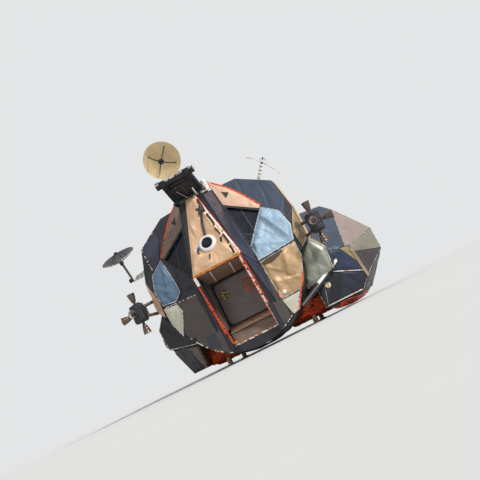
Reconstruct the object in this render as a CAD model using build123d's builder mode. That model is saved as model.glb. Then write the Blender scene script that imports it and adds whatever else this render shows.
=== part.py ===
"""Ascent stage of a crewed lunar lander, built from its separate flight pieces.

Millimetres. +X is port, -Y is forward and +Z is up. The four feet stand on Z = 0, and the Z axis is the thrust axis.
"""

import math
import os

from build123d import *

os.makedirs("parts", exist_ok=True)

# Walls, and the gaps between pieces that meet
wall = 75
seat_gap = 0.3
shaft_play = 0.05

# How far a block that is later cut to shape is drawn past the body it is cut by
overshoot = 400

# Crew cabin: a faceted outline around a round belly, seen from the front
belly_radius = 1180
belly_axis_height = 1256
cabin_aft_y = -686
cabin_reach = 1420
roof_half_width = 762
roof_height = 2880
shoulder_half_width = 1321
shoulder_height = 2538
waist_half_width = 1438
waist_top = 1929
waist_bottom = 1332
knee_height = 1091

# Front facets of the cabin meet at one corner on each side
front_corner = (1242, -1689, 1357)
window_facet_slope = (0.20, -0.90, 0.38)
lower_facet_slope = (0.27, -0.956, -0.108)
corner_facet_point = (1234, -1664, 1111)
corner_facet_slope = (0.79, -0.61, 0.0)

# Nose: a wedge between the windows that overhangs the forward hatch
nose_tip_y = -2184
nose_tip_height = 1522
nose_top_y = -1727
nose_top_height = 2818
nose_toe_y = -1676
nose_toe_height = 252
nose_tip_half_width = 430
nose_upper_side_slope = (1.0, -0.25, 0.26)
nose_lower_side_slope = (1.0, -0.575, -0.11)
nose_lip = 28

# Forward hatch in its recess
hatch_face_y = -1461
hatch_opening = 800
hatch_corner = 100
hatch_sill_height = 558
hatch_clearance = 6
hatch_set_back = 12
hatch_lip = 24
hatch_lip_thickness = 25
recess_half_width = 447
recess_tip_half_width = 373
recess_headroom = 12
recess_sill_drop = 14
recess_strip_y = -1575
recess_strip_height = 455
valve_radius = 70
valve_height = 14
hinge_radius = 16
hinge_pin_radius = 8
hinge_stand_off = 30
hinge_side_gap = 24
hinge_knuckle = 60
hinge_lug = 30
hinge_axial_gap = 1
hinge_spacing = 260
valve_x = -235
valve_rise = 150

# Windows in the window facets, given by the X and Z of their corners
window_corners = ((415, 2462), (942, 2114), (572, 1622))
window_glass = 12
window_set_back = 22
shade_corners = ((300, 3040), (560, 2800), (823, 2452), (985, 2180), (930, 2146), (402, 2492))
shade_thickness = 14

# Overhead docking window in the cabin roof, port side
roof_window_x = 470
roof_window_y = -960
roof_window_width = 130
roof_window_length = 300

# Midsection behind the cabin, with the docking tunnel in its roof
mid_half_depth = 686
mid_half_width = belly_radius
mid_floor_height = 430
mid_shoulder_height = 1750
mid_roof_half_width = 800
mid_roof_height = 2750
passage_half_width = 620
passage_height = 2300
deck_front_y = -440
deck_height = 1240
deck_thickness = 30
cabin_floor_thickness = 20

tunnel_bore = 406
tunnel_wall = 32
tunnel_height = 3000
tunnel_flange = 90
tunnel_flange_thickness = 18
hatch_plate_overlap = 12
hatch_plate_thickness = 32
overhead_hinge_y = 468
overhead_hinge_drop = 17
overhead_arm_width = 160
overhead_arm_root = 30

# Ascent engine on the thrust axis
bell_exit_radius = 394
bell_exit_height = 145
bell_throat_radius = 85
bell_throat_height = 830
bell_wall = 8
bell_section_count = 7
bell_flare = 0.62
engine_radius = 190
bell_hole_drawn_in = 20

# Tank housings, by their corners. Side ones are on Y = 0, fore ones stand ahead of the tank.
port_housing = dict(
    peak=(1981, 0, 1751),
    shoulder=(2456, 0, 1312),
    flank=(2464, 0, 707),
    keel=(2078, 0, 245),
    fore_peak=(1852, -762, 1119),
    fore_shoulder=(1999, -762, 956),
    fore_flank=(1985, -762, 620),
    fore_keel=(1842, -762, 156),
    corner_top=(1575, -1118, 1116),
    corner_low=(1219, -1118, 202),
)
starboard_housing = dict(
    peak=(1340, 0, 1640),
    shoulder=(1740, 0, 1310),
    flank=(1803, 0, 760),
    keel=(1600, 0, 245),
    fore_peak=(1400, -700, 1260),
    fore_shoulder=(1610, -700, 1130),
    fore_flank=(1690, -700, 690),
    fore_keel=(1540, -700, 200),
    corner_top=(1440, -1000, 1090),
    corner_low=(1219, -1000, 202),
)
housing_base_height = 150
housing_core = (1281, -200, 900)

# Attitude-jet tank modules ahead of the tank housings
module_front_y = -1270
module_outline = ((1060, 595), (1580, 712), (1610, 1078), (1407, 1345), (1060, 1345))

# Aft equipment bay
aft_bay_half_width = 1016
aft_bay_back_y = 1600
aft_bay_base = 300
aft_bay_roof = 2400
aft_bay_chamfer = 170

# Belly blankets under the midsection, and the four interstage feet
blanket_inner_x = 430
foot_x = 864
foot_y = 640
foot_radius = 45
foot_pad_radius = 85
foot_pad_thickness = 20
foot_bolt_radius = 12
foot_bolt_depth = 60

# Attitude-jet clusters at the four corners
quad_x = 1679
quad_y = 1672
quad_height = 1472
quad_half_width = 105
quad_half_height = 150
quad_chamfer = 45
jet_exit_radius = 70
jet_throat_radius = 24
jet_length = 170
jet_wall = 5
jet_stem = 45
jet_section_count = 2
jet_flange_radius = 38
jet_flange_thickness = 8
outrigger_radius = 28
outrigger_tie_radius = 20
outrigger_quad_rise = 70
outrigger_root_rise = 140
outrigger_tie_rise = 105
outrigger_tie_reach = 165
outrigger_fore_root = (1300, 1200)
outrigger_aft_root = (900, 1400)

# Both dishes are turned from this many straight sections
dish_section_count = 6

# Rendezvous radar above the nose
radar_shaft_y = -2118
radar_shaft_height = 3130
radar_pitch = 24.3
radar_base_width = 600
radar_base_depth = 270
radar_base_overhang = 30
radar_base_thickness = 30
radar_leg_foot = 200
radar_web_rise = 0.64
radar_web_radius = 36
radar_leg_x = 226
radar_leg_thickness = 88
radar_leg_head_radius = 62
radar_drum_radius = 62
radar_pin_radius = 28
radar_running_gap = 8
radar_end_drum_length = 72
radar_post_radius = 34
radar_trunnion_offset = 368
radar_dish_radius = 305
radar_dish_depth = 74
radar_dish_thickness = 7
radar_dish_stand_off = 105
radar_hub_radius = 30
radar_hub_length = 52
radar_focus = 205
radar_strut_radius = 5
radar_strut_root = 228
radar_strut_turn = 50
radar_stem_radius = 30
radar_sleeve_radius = 42
radar_sleeve_half_length = 55
radar_trunnion_radius = 18

# Steerable dish on the starboard side, with its sight line raised from straight ahead
comm_shaft_y = -780
comm_shaft_height = 2200
comm_dish_x = -1830
comm_elevation = 63
comm_mast_radius = 48
comm_mast_end_x = 1480
comm_mast_length = 200
comm_bore_depth = 60
comm_pin_end_gap = 5
comm_collar_gap = 1
comm_collar_length = 40
comm_shaft_radius = 26
comm_post_length = 372
comm_post_radius = 22
comm_hub_radius = 30
comm_hub_half_length = 28
comm_pivot_radius = 13
comm_ear_radius = 26
comm_ear_thickness = 16
comm_dish_radius = 330
comm_dish_depth = 86
comm_dish_thickness = 7
comm_dish_stand_off = 62
comm_focus = 185
comm_feed_radius = 34
comm_feed_length = 40
comm_strut_radius = 5
comm_strut_root = 170
comm_strut_turn = 45

# Small fittings
light_height = 1924
light_bezel_radius = 146
light_bezel_depth = 46
light_lens_radius = 98
light_lens_depth = 14
mast_root = (998, -1070, 2515)
mast_tip = (1335, -1070, 2950)
mast_radius = 22
mast_whip_tips = ((1106, -1070, 3147), (1507, -1070, 2600))
mast_whip_radius = 5
omni_spot = (722, 690)
omni_radius = 36
omni_length = 80
telescope_y = -860
telescope_radius = 62
telescope_height = 120
telescope_shade_radius = 105
telescope_shade_height = 70
telescope_shade_wall = 12
target_spot = (640, -330)
target_radius = 140
target_thickness = 12
target_post_radius = 10
target_post_height = 130
target_cross_length = 160
target_cross_width = 18
aft_omni_spot = (-640, 2150)
brace_start = (850, -1575, 350)
brace_end = (1680, -1060, 780)
brace_width = 70
brace_height = 80


def facet(point, slope, side=1, inset=0):
    """The plane of a flat panel that faces along slope, mirrored to starboard where side is -1."""
    plane = Plane(
        origin=(side * point[0], point[1], point[2]),
        z_dir=(side * slope[0], slope[1], slope[2]),
    )
    return plane.offset(-inset)


def corner_plane(a, b, c, inside):
    """The plane through three corners, facing away from a point inside the body."""
    a, b, c, inside = (Vector(*point) for point in (a, b, c, inside))
    normal = (b - a).cross(c - a).normalized()
    if normal.dot(inside - a) > 0:
        normal = normal * -1
    return Plane(origin=a, z_dir=normal)


def rod(start, end, radius):
    """A round bar between two points."""
    start, end = Vector(*start), Vector(*end)
    with BuildPart() as bar:
        with BuildSketch(Plane(origin=start, z_dir=end - start)):
            Circle(radius)
        extrude(amount=(end - start).length)
    return bar.part


def save(builder, name):
    """Labels a finished piece and writes it under its node's name."""
    builder.part.label = name
    export_step(builder.part, f"parts/{name}.step")


def cabin_form(inset=0):
    """The cabin as a closed block, drawn in by inset on every face but the aft one."""
    knee_x = math.sqrt(belly_radius**2 - (belly_axis_height - knee_height) ** 2)
    with BuildPart() as block:
        with BuildSketch(Plane.XZ.offset(-cabin_aft_y)):
            with BuildLine():
                Polyline(
                    (knee_x, knee_height),
                    (waist_half_width, waist_bottom),
                    (waist_half_width, waist_top),
                    (shoulder_half_width, shoulder_height),
                    (roof_half_width, roof_height),
                    (-roof_half_width, roof_height),
                    (-shoulder_half_width, shoulder_height),
                    (-waist_half_width, waist_top),
                    (-waist_half_width, waist_bottom),
                    (-knee_x, knee_height),
                )
                ThreePointArc(
                    (-knee_x, knee_height),
                    (0, belly_axis_height - belly_radius),
                    (knee_x, knee_height),
                )
            make_face()
            if inset:
                offset(amount=-inset, kind=Kind.INTERSECTION)
        extrude(amount=cabin_reach)
        for side in (1, -1):
            split(bisect_by=facet(front_corner, window_facet_slope, side, inset), keep=Keep.BOTTOM)
            split(bisect_by=facet(front_corner, lower_facet_slope, side, inset), keep=Keep.BOTTOM)
            split(bisect_by=facet(corner_facet_point, corner_facet_slope, side, inset), keep=Keep.BOTTOM)
    return block.part


def nose_form():
    """The nose as a closed wedge that runs back into the cabin."""
    back_y = cabin_aft_y - wall
    tip = (nose_tip_half_width, nose_tip_y, nose_tip_height)
    with BuildPart() as wedge:
        with BuildSketch(Plane.YZ):
            with BuildLine():
                Polyline(
                    (back_y, nose_top_height),
                    (nose_top_y, nose_top_height),
                    (nose_tip_y, nose_tip_height),
                    (nose_toe_y, nose_toe_height),
                    (hatch_face_y, knee_height),
                    (back_y, knee_height),
                    close=True,
                )
            make_face()
        extrude(amount=waist_half_width, both=True)
        for side in (1, -1):
            split(bisect_by=facet(tip, nose_upper_side_slope, side), keep=Keep.BOTTOM)
            split(bisect_by=facet(tip, nose_lower_side_slope, side), keep=Keep.BOTTOM)
    return wedge.part


def recess_form(grow=0):
    """The space in front of the forward hatch, grown by the wall where it bounds the cabin."""
    ceiling = hatch_sill_height + hatch_opening + recess_headroom
    sill = hatch_sill_height - recess_sill_drop
    out_y = nose_tip_y - overshoot
    with BuildPart() as space:
        with BuildSketch(Plane.YZ):
            with BuildLine():
                Polyline(
                    (hatch_face_y, sill),
                    (hatch_face_y, ceiling),
                    (nose_tip_y, nose_tip_height - nose_lip),
                    (out_y, nose_tip_height - nose_lip),
                    (out_y, nose_toe_height - overshoot),
                    (nose_toe_y, nose_toe_height - overshoot),
                    (nose_toe_y, nose_toe_height),
                    (recess_strip_y, recess_strip_height),
                    close=True,
                )
            make_face()
            if grow:
                offset(amount=grow, kind=Kind.INTERSECTION)
        extrude(amount=recess_half_width + grow, both=True)
        taper = (recess_half_width - recess_tip_half_width) / (hatch_face_y - nose_tip_y)
        for side in (1, -1):
            cheek = facet((recess_half_width, hatch_face_y, 0), (1, -taper, 0), side, -grow)
            split(bisect_by=cheek, keep=Keep.BOTTOM)
    return space.part


def on_window_facet(x, z):
    """The point of the port window facet at a given X and Z."""
    nx, ny, nz = window_facet_slope
    px, py, pz = front_corner
    return Vector(x, py - (nx * (x - px) + nz * (z - pz)) / ny, z)


def window_plate(corners, side, depth, thickness):
    """A flat plate on a window facet, from depth below its face and outward by thickness."""
    plane = facet(front_corner, window_facet_slope, 1, depth)
    spots = [plane.to_local_coords(on_window_facet(x, z)) for x, z in corners]
    with BuildPart() as plate:
        with BuildSketch(plane):
            with BuildLine():
                Polyline(*[(spot.X, spot.Y) for spot in spots], close=True)
            make_face()
        extrude(amount=thickness)
        if side < 0:
            mirror(about=Plane.YZ, mode=Mode.REPLACE)
    return plate.part


def housing_form(corners, side):
    """A faceted tank housing, made from its corners and mirrored fore and aft."""
    facets = (
        ("peak", "shoulder", "fore_shoulder"),
        ("shoulder", "flank", "fore_flank"),
        ("flank", "keel", "fore_keel"),
        ("peak", "fore_peak", "corner_top"),
        ("fore_shoulder", "fore_flank", "corner_top"),
        ("fore_flank", "fore_keel", "corner_low"),
        ("peak", "fore_shoulder", "fore_peak"),
    )
    with BuildPart() as block:
        with BuildSketch(Plane.XY.offset(housing_base_height)):
            with Locations((mid_half_width, corners["corner_top"][1])):
                Rectangle(corners["flank"][0] + overshoot, -corners["corner_top"][1], align=Align.MIN)
        extrude(amount=corners["peak"][2])
        for names in facets:
            plane = corner_plane(*(corners[name] for name in names), housing_core)
            split(bisect_by=plane, keep=Keep.BOTTOM)
        mirror(about=Plane.XZ)
        if side < 0:
            mirror(about=Plane.YZ, mode=Mode.REPLACE)
    return block.part


def module_form(side):
    """The block of an attitude-jet tank module, before its neighbours are cut away."""
    with BuildPart() as block:
        with BuildSketch(Plane.XZ.offset(-module_front_y)):
            with BuildLine():
                Polyline(*[(side * x, z) for x, z in module_outline], close=True)
            make_face()
        extrude(amount=module_front_y - cabin_aft_y)
    return block.part


def aft_bay_form():
    """The aft equipment bay as a chamfered block."""
    depth = aft_bay_back_y - mid_half_depth
    with BuildPart() as block:
        with BuildSketch(Plane.XY.offset(aft_bay_base)):
            with Locations((0, mid_half_depth + depth / 2)):
                Rectangle(2 * aft_bay_half_width, depth)
        extrude(amount=aft_bay_roof - aft_bay_base)
        back = block.faces().sort_by(Axis.Y)[-1]
        chamfer(back.edges(), length=aft_bay_chamfer)
    return block.part


cabin_outer = cabin_form()
cabin_inner = cabin_form(wall)
nose_outer = nose_form()
recess = recess_form()
recess_walled = recess_form(wall)
port_tank_form = housing_form(port_housing, 1)
starboard_tank_form = housing_form(starboard_housing, -1)
aft_bay_outer = aft_bay_form()

# Crew cabin, hollow: a barrel of roof, sides and belly, closed ahead by flat panels and by the hatch bulkhead
hatch_mid_height = hatch_sill_height + hatch_opening / 2
hatch_inner_y = hatch_face_y + wall
hatch_plate_size = hatch_opening + 2 * hatch_lip
hinge_x = -(hatch_plate_size / 2 + hinge_side_gap)
hinge_y = hatch_inner_y + hinge_stand_off
hinge_heights = (hatch_mid_height - hinge_spacing, hatch_mid_height + hinge_spacing)

with BuildPart() as cabin_walls:
    add(cabin_outer)
    add(cabin_inner, mode=Mode.SUBTRACT)
    add(recess_walled, mode=Mode.SUBTRACT)

with BuildPart() as barrel:
    add(cabin_walls.part)
    for side in (1, -1):
        split(bisect_by=facet(front_corner, window_facet_slope, side, wall), keep=Keep.BOTTOM)
        split(bisect_by=facet(front_corner, lower_facet_slope, side, wall), keep=Keep.BOTTOM)
        split(bisect_by=facet(corner_facet_point, corner_facet_slope, side, wall), keep=Keep.BOTTOM)

with BuildPart() as front_walls:
    add(cabin_walls.part)
    add(barrel.part, mode=Mode.SUBTRACT)

shoulder_level = Plane.XY.offset(shoulder_height)
knee_level = Plane.XY.offset(knee_height)
with BuildPart() as cabin_roof:
    add(barrel.part)
    split(bisect_by=shoulder_level, keep=Keep.TOP)
    with BuildSketch(Plane.XY.offset(roof_height)):
        with Locations((roof_window_x, roof_window_y)):
            Rectangle(roof_window_width, roof_window_length)
    extrude(amount=-wall, mode=Mode.SUBTRACT)
save(cabin_roof, "cabin_roof")

with BuildPart() as cabin_belly:
    add(barrel.part)
    split(bisect_by=knee_level, keep=Keep.BOTTOM)
save(cabin_belly, "cabin_belly")

for name, side in (("port", 1), ("starboard", -1)):
    keep_side = Keep.TOP if side > 0 else Keep.BOTTOM
    with BuildPart() as cabin_side:
        add(barrel.part)
        split(bisect_by=shoulder_level, keep=Keep.BOTTOM)
        split(bisect_by=knee_level, keep=Keep.TOP)
        split(bisect_by=Plane.YZ, keep=keep_side)
    save(cabin_side, f"{name}_cabin_side")

    with BuildPart() as front_side:
        add(front_walls.part)
        split(bisect_by=Plane.YZ, keep=keep_side)

    with BuildPart() as window_panel:
        add(front_side.part)
        split(bisect_by=facet(front_corner, lower_facet_slope, side, wall), keep=Keep.BOTTOM)
        split(bisect_by=facet(corner_facet_point, corner_facet_slope, side, wall), keep=Keep.BOTTOM)
        add(window_plate(window_corners, side, 2 * wall, 3 * wall), mode=Mode.SUBTRACT)
    save(window_panel, f"{name}_window_panel")

    with BuildPart() as corner_panel:
        add(front_side.part)
        split(bisect_by=facet(front_corner, lower_facet_slope, side, wall), keep=Keep.BOTTOM)
        split(bisect_by=facet(corner_facet_point, corner_facet_slope, side, wall), keep=Keep.TOP)
    save(corner_panel, f"{name}_corner_panel")

    with BuildPart() as lower_panel:
        add(front_side.part)
        split(bisect_by=facet(front_corner, lower_facet_slope, side, wall), keep=Keep.TOP)
    save(lower_panel, f"{name}_lower_panel")

# Hatch bulkhead: the walls round the recess, with the hatch opening and the lugs of its hinge
with BuildPart() as bulkhead:
    add(cabin_outer)
    add(recess_walled, mode=Mode.INTERSECT)
    add(recess, mode=Mode.SUBTRACT)
    with BuildSketch(Plane.XZ.offset(-hatch_inner_y)):
        with Locations((0, hatch_mid_height)):
            RectangleRounded(hatch_opening, hatch_opening, hatch_corner)
    extrude(amount=wall, mode=Mode.SUBTRACT)
    lug_step = (hinge_knuckle + hinge_lug) / 2 + hinge_axial_gap
    for height in (hinge_heights[0] + lug_step, hinge_heights[1] - lug_step):
        with BuildSketch(Plane.XY.offset(height - hinge_lug / 2)):
            with Locations((hinge_x, hinge_y)):
                Circle(hinge_radius)
            with Locations((hinge_x, hinge_y - hinge_stand_off / 2)):
                Rectangle(2 * hinge_radius, hinge_stand_off)
            with Locations((hinge_x, hinge_y)):
                Circle(hinge_pin_radius + shaft_play, mode=Mode.SUBTRACT)
        extrude(amount=hinge_lug)
save(bulkhead, "hatch_bulkhead")

# Nose, with the recess cut through it
with BuildPart() as nose:
    add(nose_outer)
    add(cabin_outer, mode=Mode.SUBTRACT)
    add(recess, mode=Mode.SUBTRACT)
save(nose, "nose")

# Window panes and the shades over them
for name, side in (("port", 1), ("starboard", -1)):
    with BuildPart() as pane:
        add(window_plate(window_corners, side, window_set_back + window_glass, window_glass))
    save(pane, f"{name}_window_pane")
    with BuildPart() as shade:
        add(window_plate(shade_corners, side, 0, shade_thickness))
        add(nose_outer, mode=Mode.SUBTRACT)
    save(shade, f"{name}_window_shade")

with BuildPart() as roof_pane:
    with BuildSketch(Plane.XY.offset(roof_height - window_set_back - window_glass)):
        with Locations((roof_window_x, roof_window_y)):
            Rectangle(roof_window_width, roof_window_length)
    extrude(amount=window_glass)
save(roof_pane, "docking_window_pane")

# Forward hatch: a plug in the opening on a wider plate inside it, with a pin through its knuckles
with BuildPart() as forward_hatch:
    with BuildSketch(Plane.XZ.offset(-hatch_inner_y - seat_gap)):
        with Locations((0, hatch_mid_height)):
            RectangleRounded(hatch_plate_size, hatch_plate_size, hatch_corner)
    extrude(amount=-hatch_lip_thickness)
    with BuildSketch(Plane.XZ.offset(-hatch_inner_y - seat_gap)):
        with Locations((0, hatch_mid_height)):
            plug_size = hatch_opening - 2 * hatch_clearance
            RectangleRounded(plug_size, plug_size, hatch_corner - hatch_clearance)
    extrude(amount=wall - hatch_set_back + seat_gap)
    with BuildSketch(Plane.XZ.offset(-hatch_face_y - hatch_set_back)):
        with Locations((valve_x, hatch_mid_height + valve_rise)):
            Circle(valve_radius)
    extrude(amount=valve_height)
    for height in hinge_heights:
        with BuildSketch(Plane.XY.offset(height - hinge_knuckle / 2)):
            with Locations((hinge_x, hinge_y)):
                Circle(hinge_radius)
            with Locations((hinge_x, hatch_inner_y + seat_gap + hatch_lip_thickness / 2)):
                Rectangle(
                    hinge_side_gap + hatch_lip,
                    hatch_lip_thickness,
                    align=(Align.MIN, Align.CENTER),
                )
        extrude(amount=hinge_knuckle)
    with Locations((hinge_x, hinge_y, hatch_mid_height)):
        Cylinder(hinge_pin_radius, 2 * hinge_spacing)
save(forward_hatch, "forward_hatch")


def bell_outline(throat_radius, exit_radius, length, sections):
    """Radius and distance from the throat along a bell, which flares fast at first and then slowly."""
    shares = [step / sections for step in range(sections + 1)]
    return [(throat_radius + (exit_radius - throat_radius) * share**bell_flare, length * share) for share in shares]


def mid_block(half_depth, inset=0):
    """The midsection as a closed block, drawn in by inset from its outline."""
    with BuildPart() as block:
        with BuildSketch(Plane.XZ):
            with BuildLine():
                Polyline(
                    (-mid_half_width, mid_floor_height),
                    (mid_half_width, mid_floor_height),
                    (mid_half_width, mid_shoulder_height),
                    (mid_roof_half_width, mid_roof_height),
                    (-mid_roof_half_width, mid_roof_height),
                    (-mid_half_width, mid_shoulder_height),
                    close=True,
                )
            make_face()
            if inset:
                offset(amount=-inset, kind=Kind.INTERSECTION)
        extrude(amount=half_depth, both=True)
    return block.part


# Midsection: a floor, two walls and a roof between two bulkheads, open ahead to the cabin and above to the tunnel
cabin_floor_base = mid_floor_height + wall
bell_hole_radius = bell_exit_radius - bell_hole_drawn_in
bulkhead_inner_y = mid_half_depth - wall
mid_ceiling_height = mid_roof_height - wall
with BuildPart() as bulkheads:
    add(mid_block(mid_half_depth))
    add(mid_block(bulkhead_inner_y), mode=Mode.SUBTRACT)

with BuildPart() as fore_bulkhead:
    add(bulkheads.part)
    split(bisect_by=Plane.XZ, keep=Keep.TOP)
    with BuildSketch(Plane.XZ.offset(bulkhead_inner_y)):
        with Locations((0, cabin_floor_base)):
            passage_rise = passage_height - cabin_floor_base
            Rectangle(2 * passage_half_width, passage_rise, align=(Align.CENTER, Align.MIN))
    extrude(amount=wall, mode=Mode.SUBTRACT)
save(fore_bulkhead, "midsection_fore_bulkhead")

with BuildPart() as aft_bulkhead:
    add(bulkheads.part)
    split(bisect_by=Plane.XZ, keep=Keep.BOTTOM)
save(aft_bulkhead, "midsection_aft_bulkhead")

with BuildPart() as mid_tube:
    add(mid_block(bulkhead_inner_y))
    add(mid_block(bulkhead_inner_y, wall), mode=Mode.SUBTRACT)

with BuildPart() as mid_floor:
    add(mid_tube.part)
    split(bisect_by=Plane.XY.offset(cabin_floor_base), keep=Keep.BOTTOM)
    with BuildSketch(Plane.XY.offset(mid_floor_height)):
        Circle(bell_hole_radius)
    extrude(amount=wall, mode=Mode.SUBTRACT)
save(mid_floor, "midsection_floor")

with BuildPart() as mid_roof:
    add(mid_tube.part)
    split(bisect_by=Plane.XY.offset(mid_ceiling_height), keep=Keep.TOP)
    with BuildSketch(Plane.XY.offset(mid_ceiling_height)):
        Circle(tunnel_bore + tunnel_wall)
    extrude(amount=wall, mode=Mode.SUBTRACT)
save(mid_roof, "midsection_roof")

for name, keep_side in (("port", Keep.TOP), ("starboard", Keep.BOTTOM)):
    with BuildPart() as mid_wall:
        add(mid_tube.part)
        split(bisect_by=Plane.XY.offset(cabin_floor_base), keep=Keep.TOP)
        split(bisect_by=Plane.XY.offset(mid_ceiling_height), keep=Keep.BOTTOM)
        split(bisect_by=Plane.YZ, keep=keep_side)
    save(mid_wall, f"{name}_midsection_wall")

# Cabin floor, and the raised midsection deck with its riser, which closes off the engine
with BuildPart() as cabin_floor:
    with BuildSketch(Plane.XY.offset(cabin_floor_base)):
        with Locations((0, hatch_inner_y)):
            Rectangle(
                2 * passage_half_width,
                deck_front_y - hatch_inner_y,
                align=(Align.CENTER, Align.MIN),
            )
    extrude(amount=cabin_floor_thickness)
save(cabin_floor, "cabin_floor")

with BuildPart() as deck:
    with BuildSketch(Plane.YZ):
        with BuildLine():
            Polyline(
                (deck_front_y, cabin_floor_base),
                (deck_front_y, deck_height + deck_thickness),
                (bulkhead_inner_y, deck_height + deck_thickness),
                (bulkhead_inner_y, deck_height),
                (deck_front_y + deck_thickness, deck_height),
                (deck_front_y + deck_thickness, cabin_floor_base),
                close=True,
            )
        make_face()
    extrude(amount=mid_half_width - wall, both=True)
save(deck, "midsection_deck")

# Docking tunnel: a collar through the roof with a flange on it
with BuildPart() as tunnel:
    with BuildSketch(Plane.XZ):
        with BuildLine():
            Polyline(
                (tunnel_bore, mid_ceiling_height),
                (tunnel_bore, tunnel_height),
                (tunnel_bore + tunnel_wall, tunnel_height),
                (tunnel_bore + tunnel_wall, mid_roof_height + tunnel_flange_thickness),
                (tunnel_bore + tunnel_flange, mid_roof_height + tunnel_flange_thickness),
                (tunnel_bore + tunnel_flange, mid_roof_height),
                (tunnel_bore + tunnel_wall, mid_roof_height),
                (tunnel_bore + tunnel_wall, mid_ceiling_height),
                close=True,
            )
        make_face()
    revolve(axis=Axis.Z)
save(tunnel, "docking_tunnel")

# Overhead hatch: a disc under the tunnel, hinged at its aft edge between two roof lugs
overhead_top = mid_ceiling_height - seat_gap
overhead_hinge_z = mid_ceiling_height - overhead_hinge_drop
overhead_radius = tunnel_bore + hatch_plate_overlap
overhead_arm_length = overhead_hinge_y - overhead_radius + overhead_arm_root
with BuildPart() as overhead_hatch:
    with BuildSketch(Plane.XY.offset(overhead_top)):
        Circle(overhead_radius)
    extrude(amount=-hatch_plate_thickness)
    with BuildSketch(Plane.XY.offset(overhead_top)):
        with Locations((0, overhead_hinge_y)):
            Rectangle(overhead_arm_width, overhead_arm_length, align=(Align.CENTER, Align.MAX))
    extrude(amount=-hatch_plate_thickness)
    with BuildSketch(Plane.YZ):
        with Locations((overhead_hinge_y, overhead_hinge_z)):
            Circle(hinge_radius)
    extrude(amount=overhead_arm_width / 2, both=True)
    with BuildSketch(Plane.YZ):
        with Locations((overhead_hinge_y, overhead_hinge_z)):
            Circle(hinge_pin_radius)
    extrude(amount=overhead_arm_width / 2 + hinge_axial_gap + hinge_lug, both=True)
save(overhead_hatch, "overhead_hatch")

with BuildPart() as overhead_lugs:
    for side in (1, -1):
        with BuildSketch(Plane.YZ.offset(side * (overhead_arm_width / 2 + hinge_axial_gap))):
            with Locations((overhead_hinge_y, overhead_hinge_z)):
                Circle(hinge_radius)
            with Locations((overhead_hinge_y, (overhead_hinge_z + mid_ceiling_height) / 2)):
                Rectangle(2 * hinge_radius, overhead_hinge_drop)
            with Locations((overhead_hinge_y, overhead_hinge_z)):
                Circle(hinge_pin_radius + shaft_play, mode=Mode.SUBTRACT)
        extrude(amount=side * hinge_lug)
save(overhead_lugs, "overhead_hatch_lugs")

# Ascent engine: one plain block hung from the deck, and its bell
with BuildPart() as engine:
    with BuildSketch(Plane.XY.offset(bell_throat_height)):
        Circle(engine_radius)
    extrude(amount=deck_height - bell_throat_height)
save(engine, "ascent_engine_block")

with BuildPart() as bell:
    bell_length = bell_throat_height - bell_exit_height
    outer = bell_outline(bell_throat_radius, bell_exit_radius, bell_length, bell_section_count)
    inner = [(radius - bell_wall, along) for radius, along in reversed(outer)]
    with BuildSketch(Plane.XZ):
        with BuildLine():
            Polyline(*[(radius, bell_throat_height - along) for radius, along in outer + inner], close=True)
        make_face()
    revolve(axis=Axis.Z)
save(bell, "ascent_engine_bell")

# Tank housings and the attitude-jet tank modules ahead of them
for name, side, form in (("port", 1, port_tank_form), ("starboard", -1, starboard_tank_form)):
    with BuildPart() as housing:
        add(form)
        add(cabin_outer, mode=Mode.SUBTRACT)
    save(housing, f"{name}_tank_housing")
    with BuildPart() as module:
        add(module_form(side))
        add(cabin_outer, mode=Mode.SUBTRACT)
        add(form, mode=Mode.SUBTRACT)
    save(module, f"{name}_jet_tank_module")

with BuildPart() as aft_bay:
    add(aft_bay_outer)
save(aft_bay, "aft_equipment_bay")

# Interstage feet, and the belly blankets they pass through
foot_places = [(x, y) for x in (-foot_x, foot_x) for y in (-foot_y, foot_y)]
with BuildPart() as feet:
    with BuildSketch(Plane.XY):
        with Locations(*foot_places):
            Circle(foot_pad_radius)
    extrude(amount=foot_pad_thickness)
    with BuildSketch(Plane.XY):
        with Locations(*foot_places):
            Circle(foot_radius)
    extrude(amount=mid_floor_height)
    with BuildSketch(Plane.XY):
        with Locations(*foot_places):
            Circle(foot_bolt_radius)
    extrude(amount=foot_bolt_depth, mode=Mode.SUBTRACT)
save(feet, "interstage_feet")

for name, side in (("port", 1), ("starboard", -1)):
    with BuildPart() as blanket:
        with BuildSketch(Plane.XY.offset(housing_base_height)):
            with Locations((side * (blanket_inner_x + mid_half_width) / 2, 0)):
                Rectangle(mid_half_width - blanket_inner_x, 2 * mid_half_depth)
            with Locations(*[spot for spot in foot_places if spot[0] * side > 0]):
                Circle(foot_radius, mode=Mode.SUBTRACT)
        extrude(amount=mid_floor_height - housing_base_height)
    save(blanket, f"{name}_belly_blanket")


def jet(origin, direction, level):
    """One attitude jet: a hollow bell on a stem, from the face of its cluster. level is square to its direction."""
    outer = bell_outline(jet_throat_radius, jet_exit_radius, jet_length, jet_section_count)
    outer = [(radius, jet_stem + along) for radius, along in outer]
    inner = [(radius - jet_wall, along) for radius, along in reversed(outer)]
    ring = [(0, 0), (jet_flange_radius, 0), (jet_flange_radius, jet_flange_thickness)]
    ring += [(jet_throat_radius, jet_flange_thickness)]
    plane = Plane(origin=origin, x_dir=level, z_dir=Vector(*level).cross(Vector(*direction)))
    with BuildPart() as nozzle:
        with BuildSketch(plane):
            with BuildLine():
                Polyline(*ring, *outer, *inner, (0, jet_stem), close=True)
            make_face()
        revolve(axis=Axis(origin, direction))
    return nozzle.part


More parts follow.
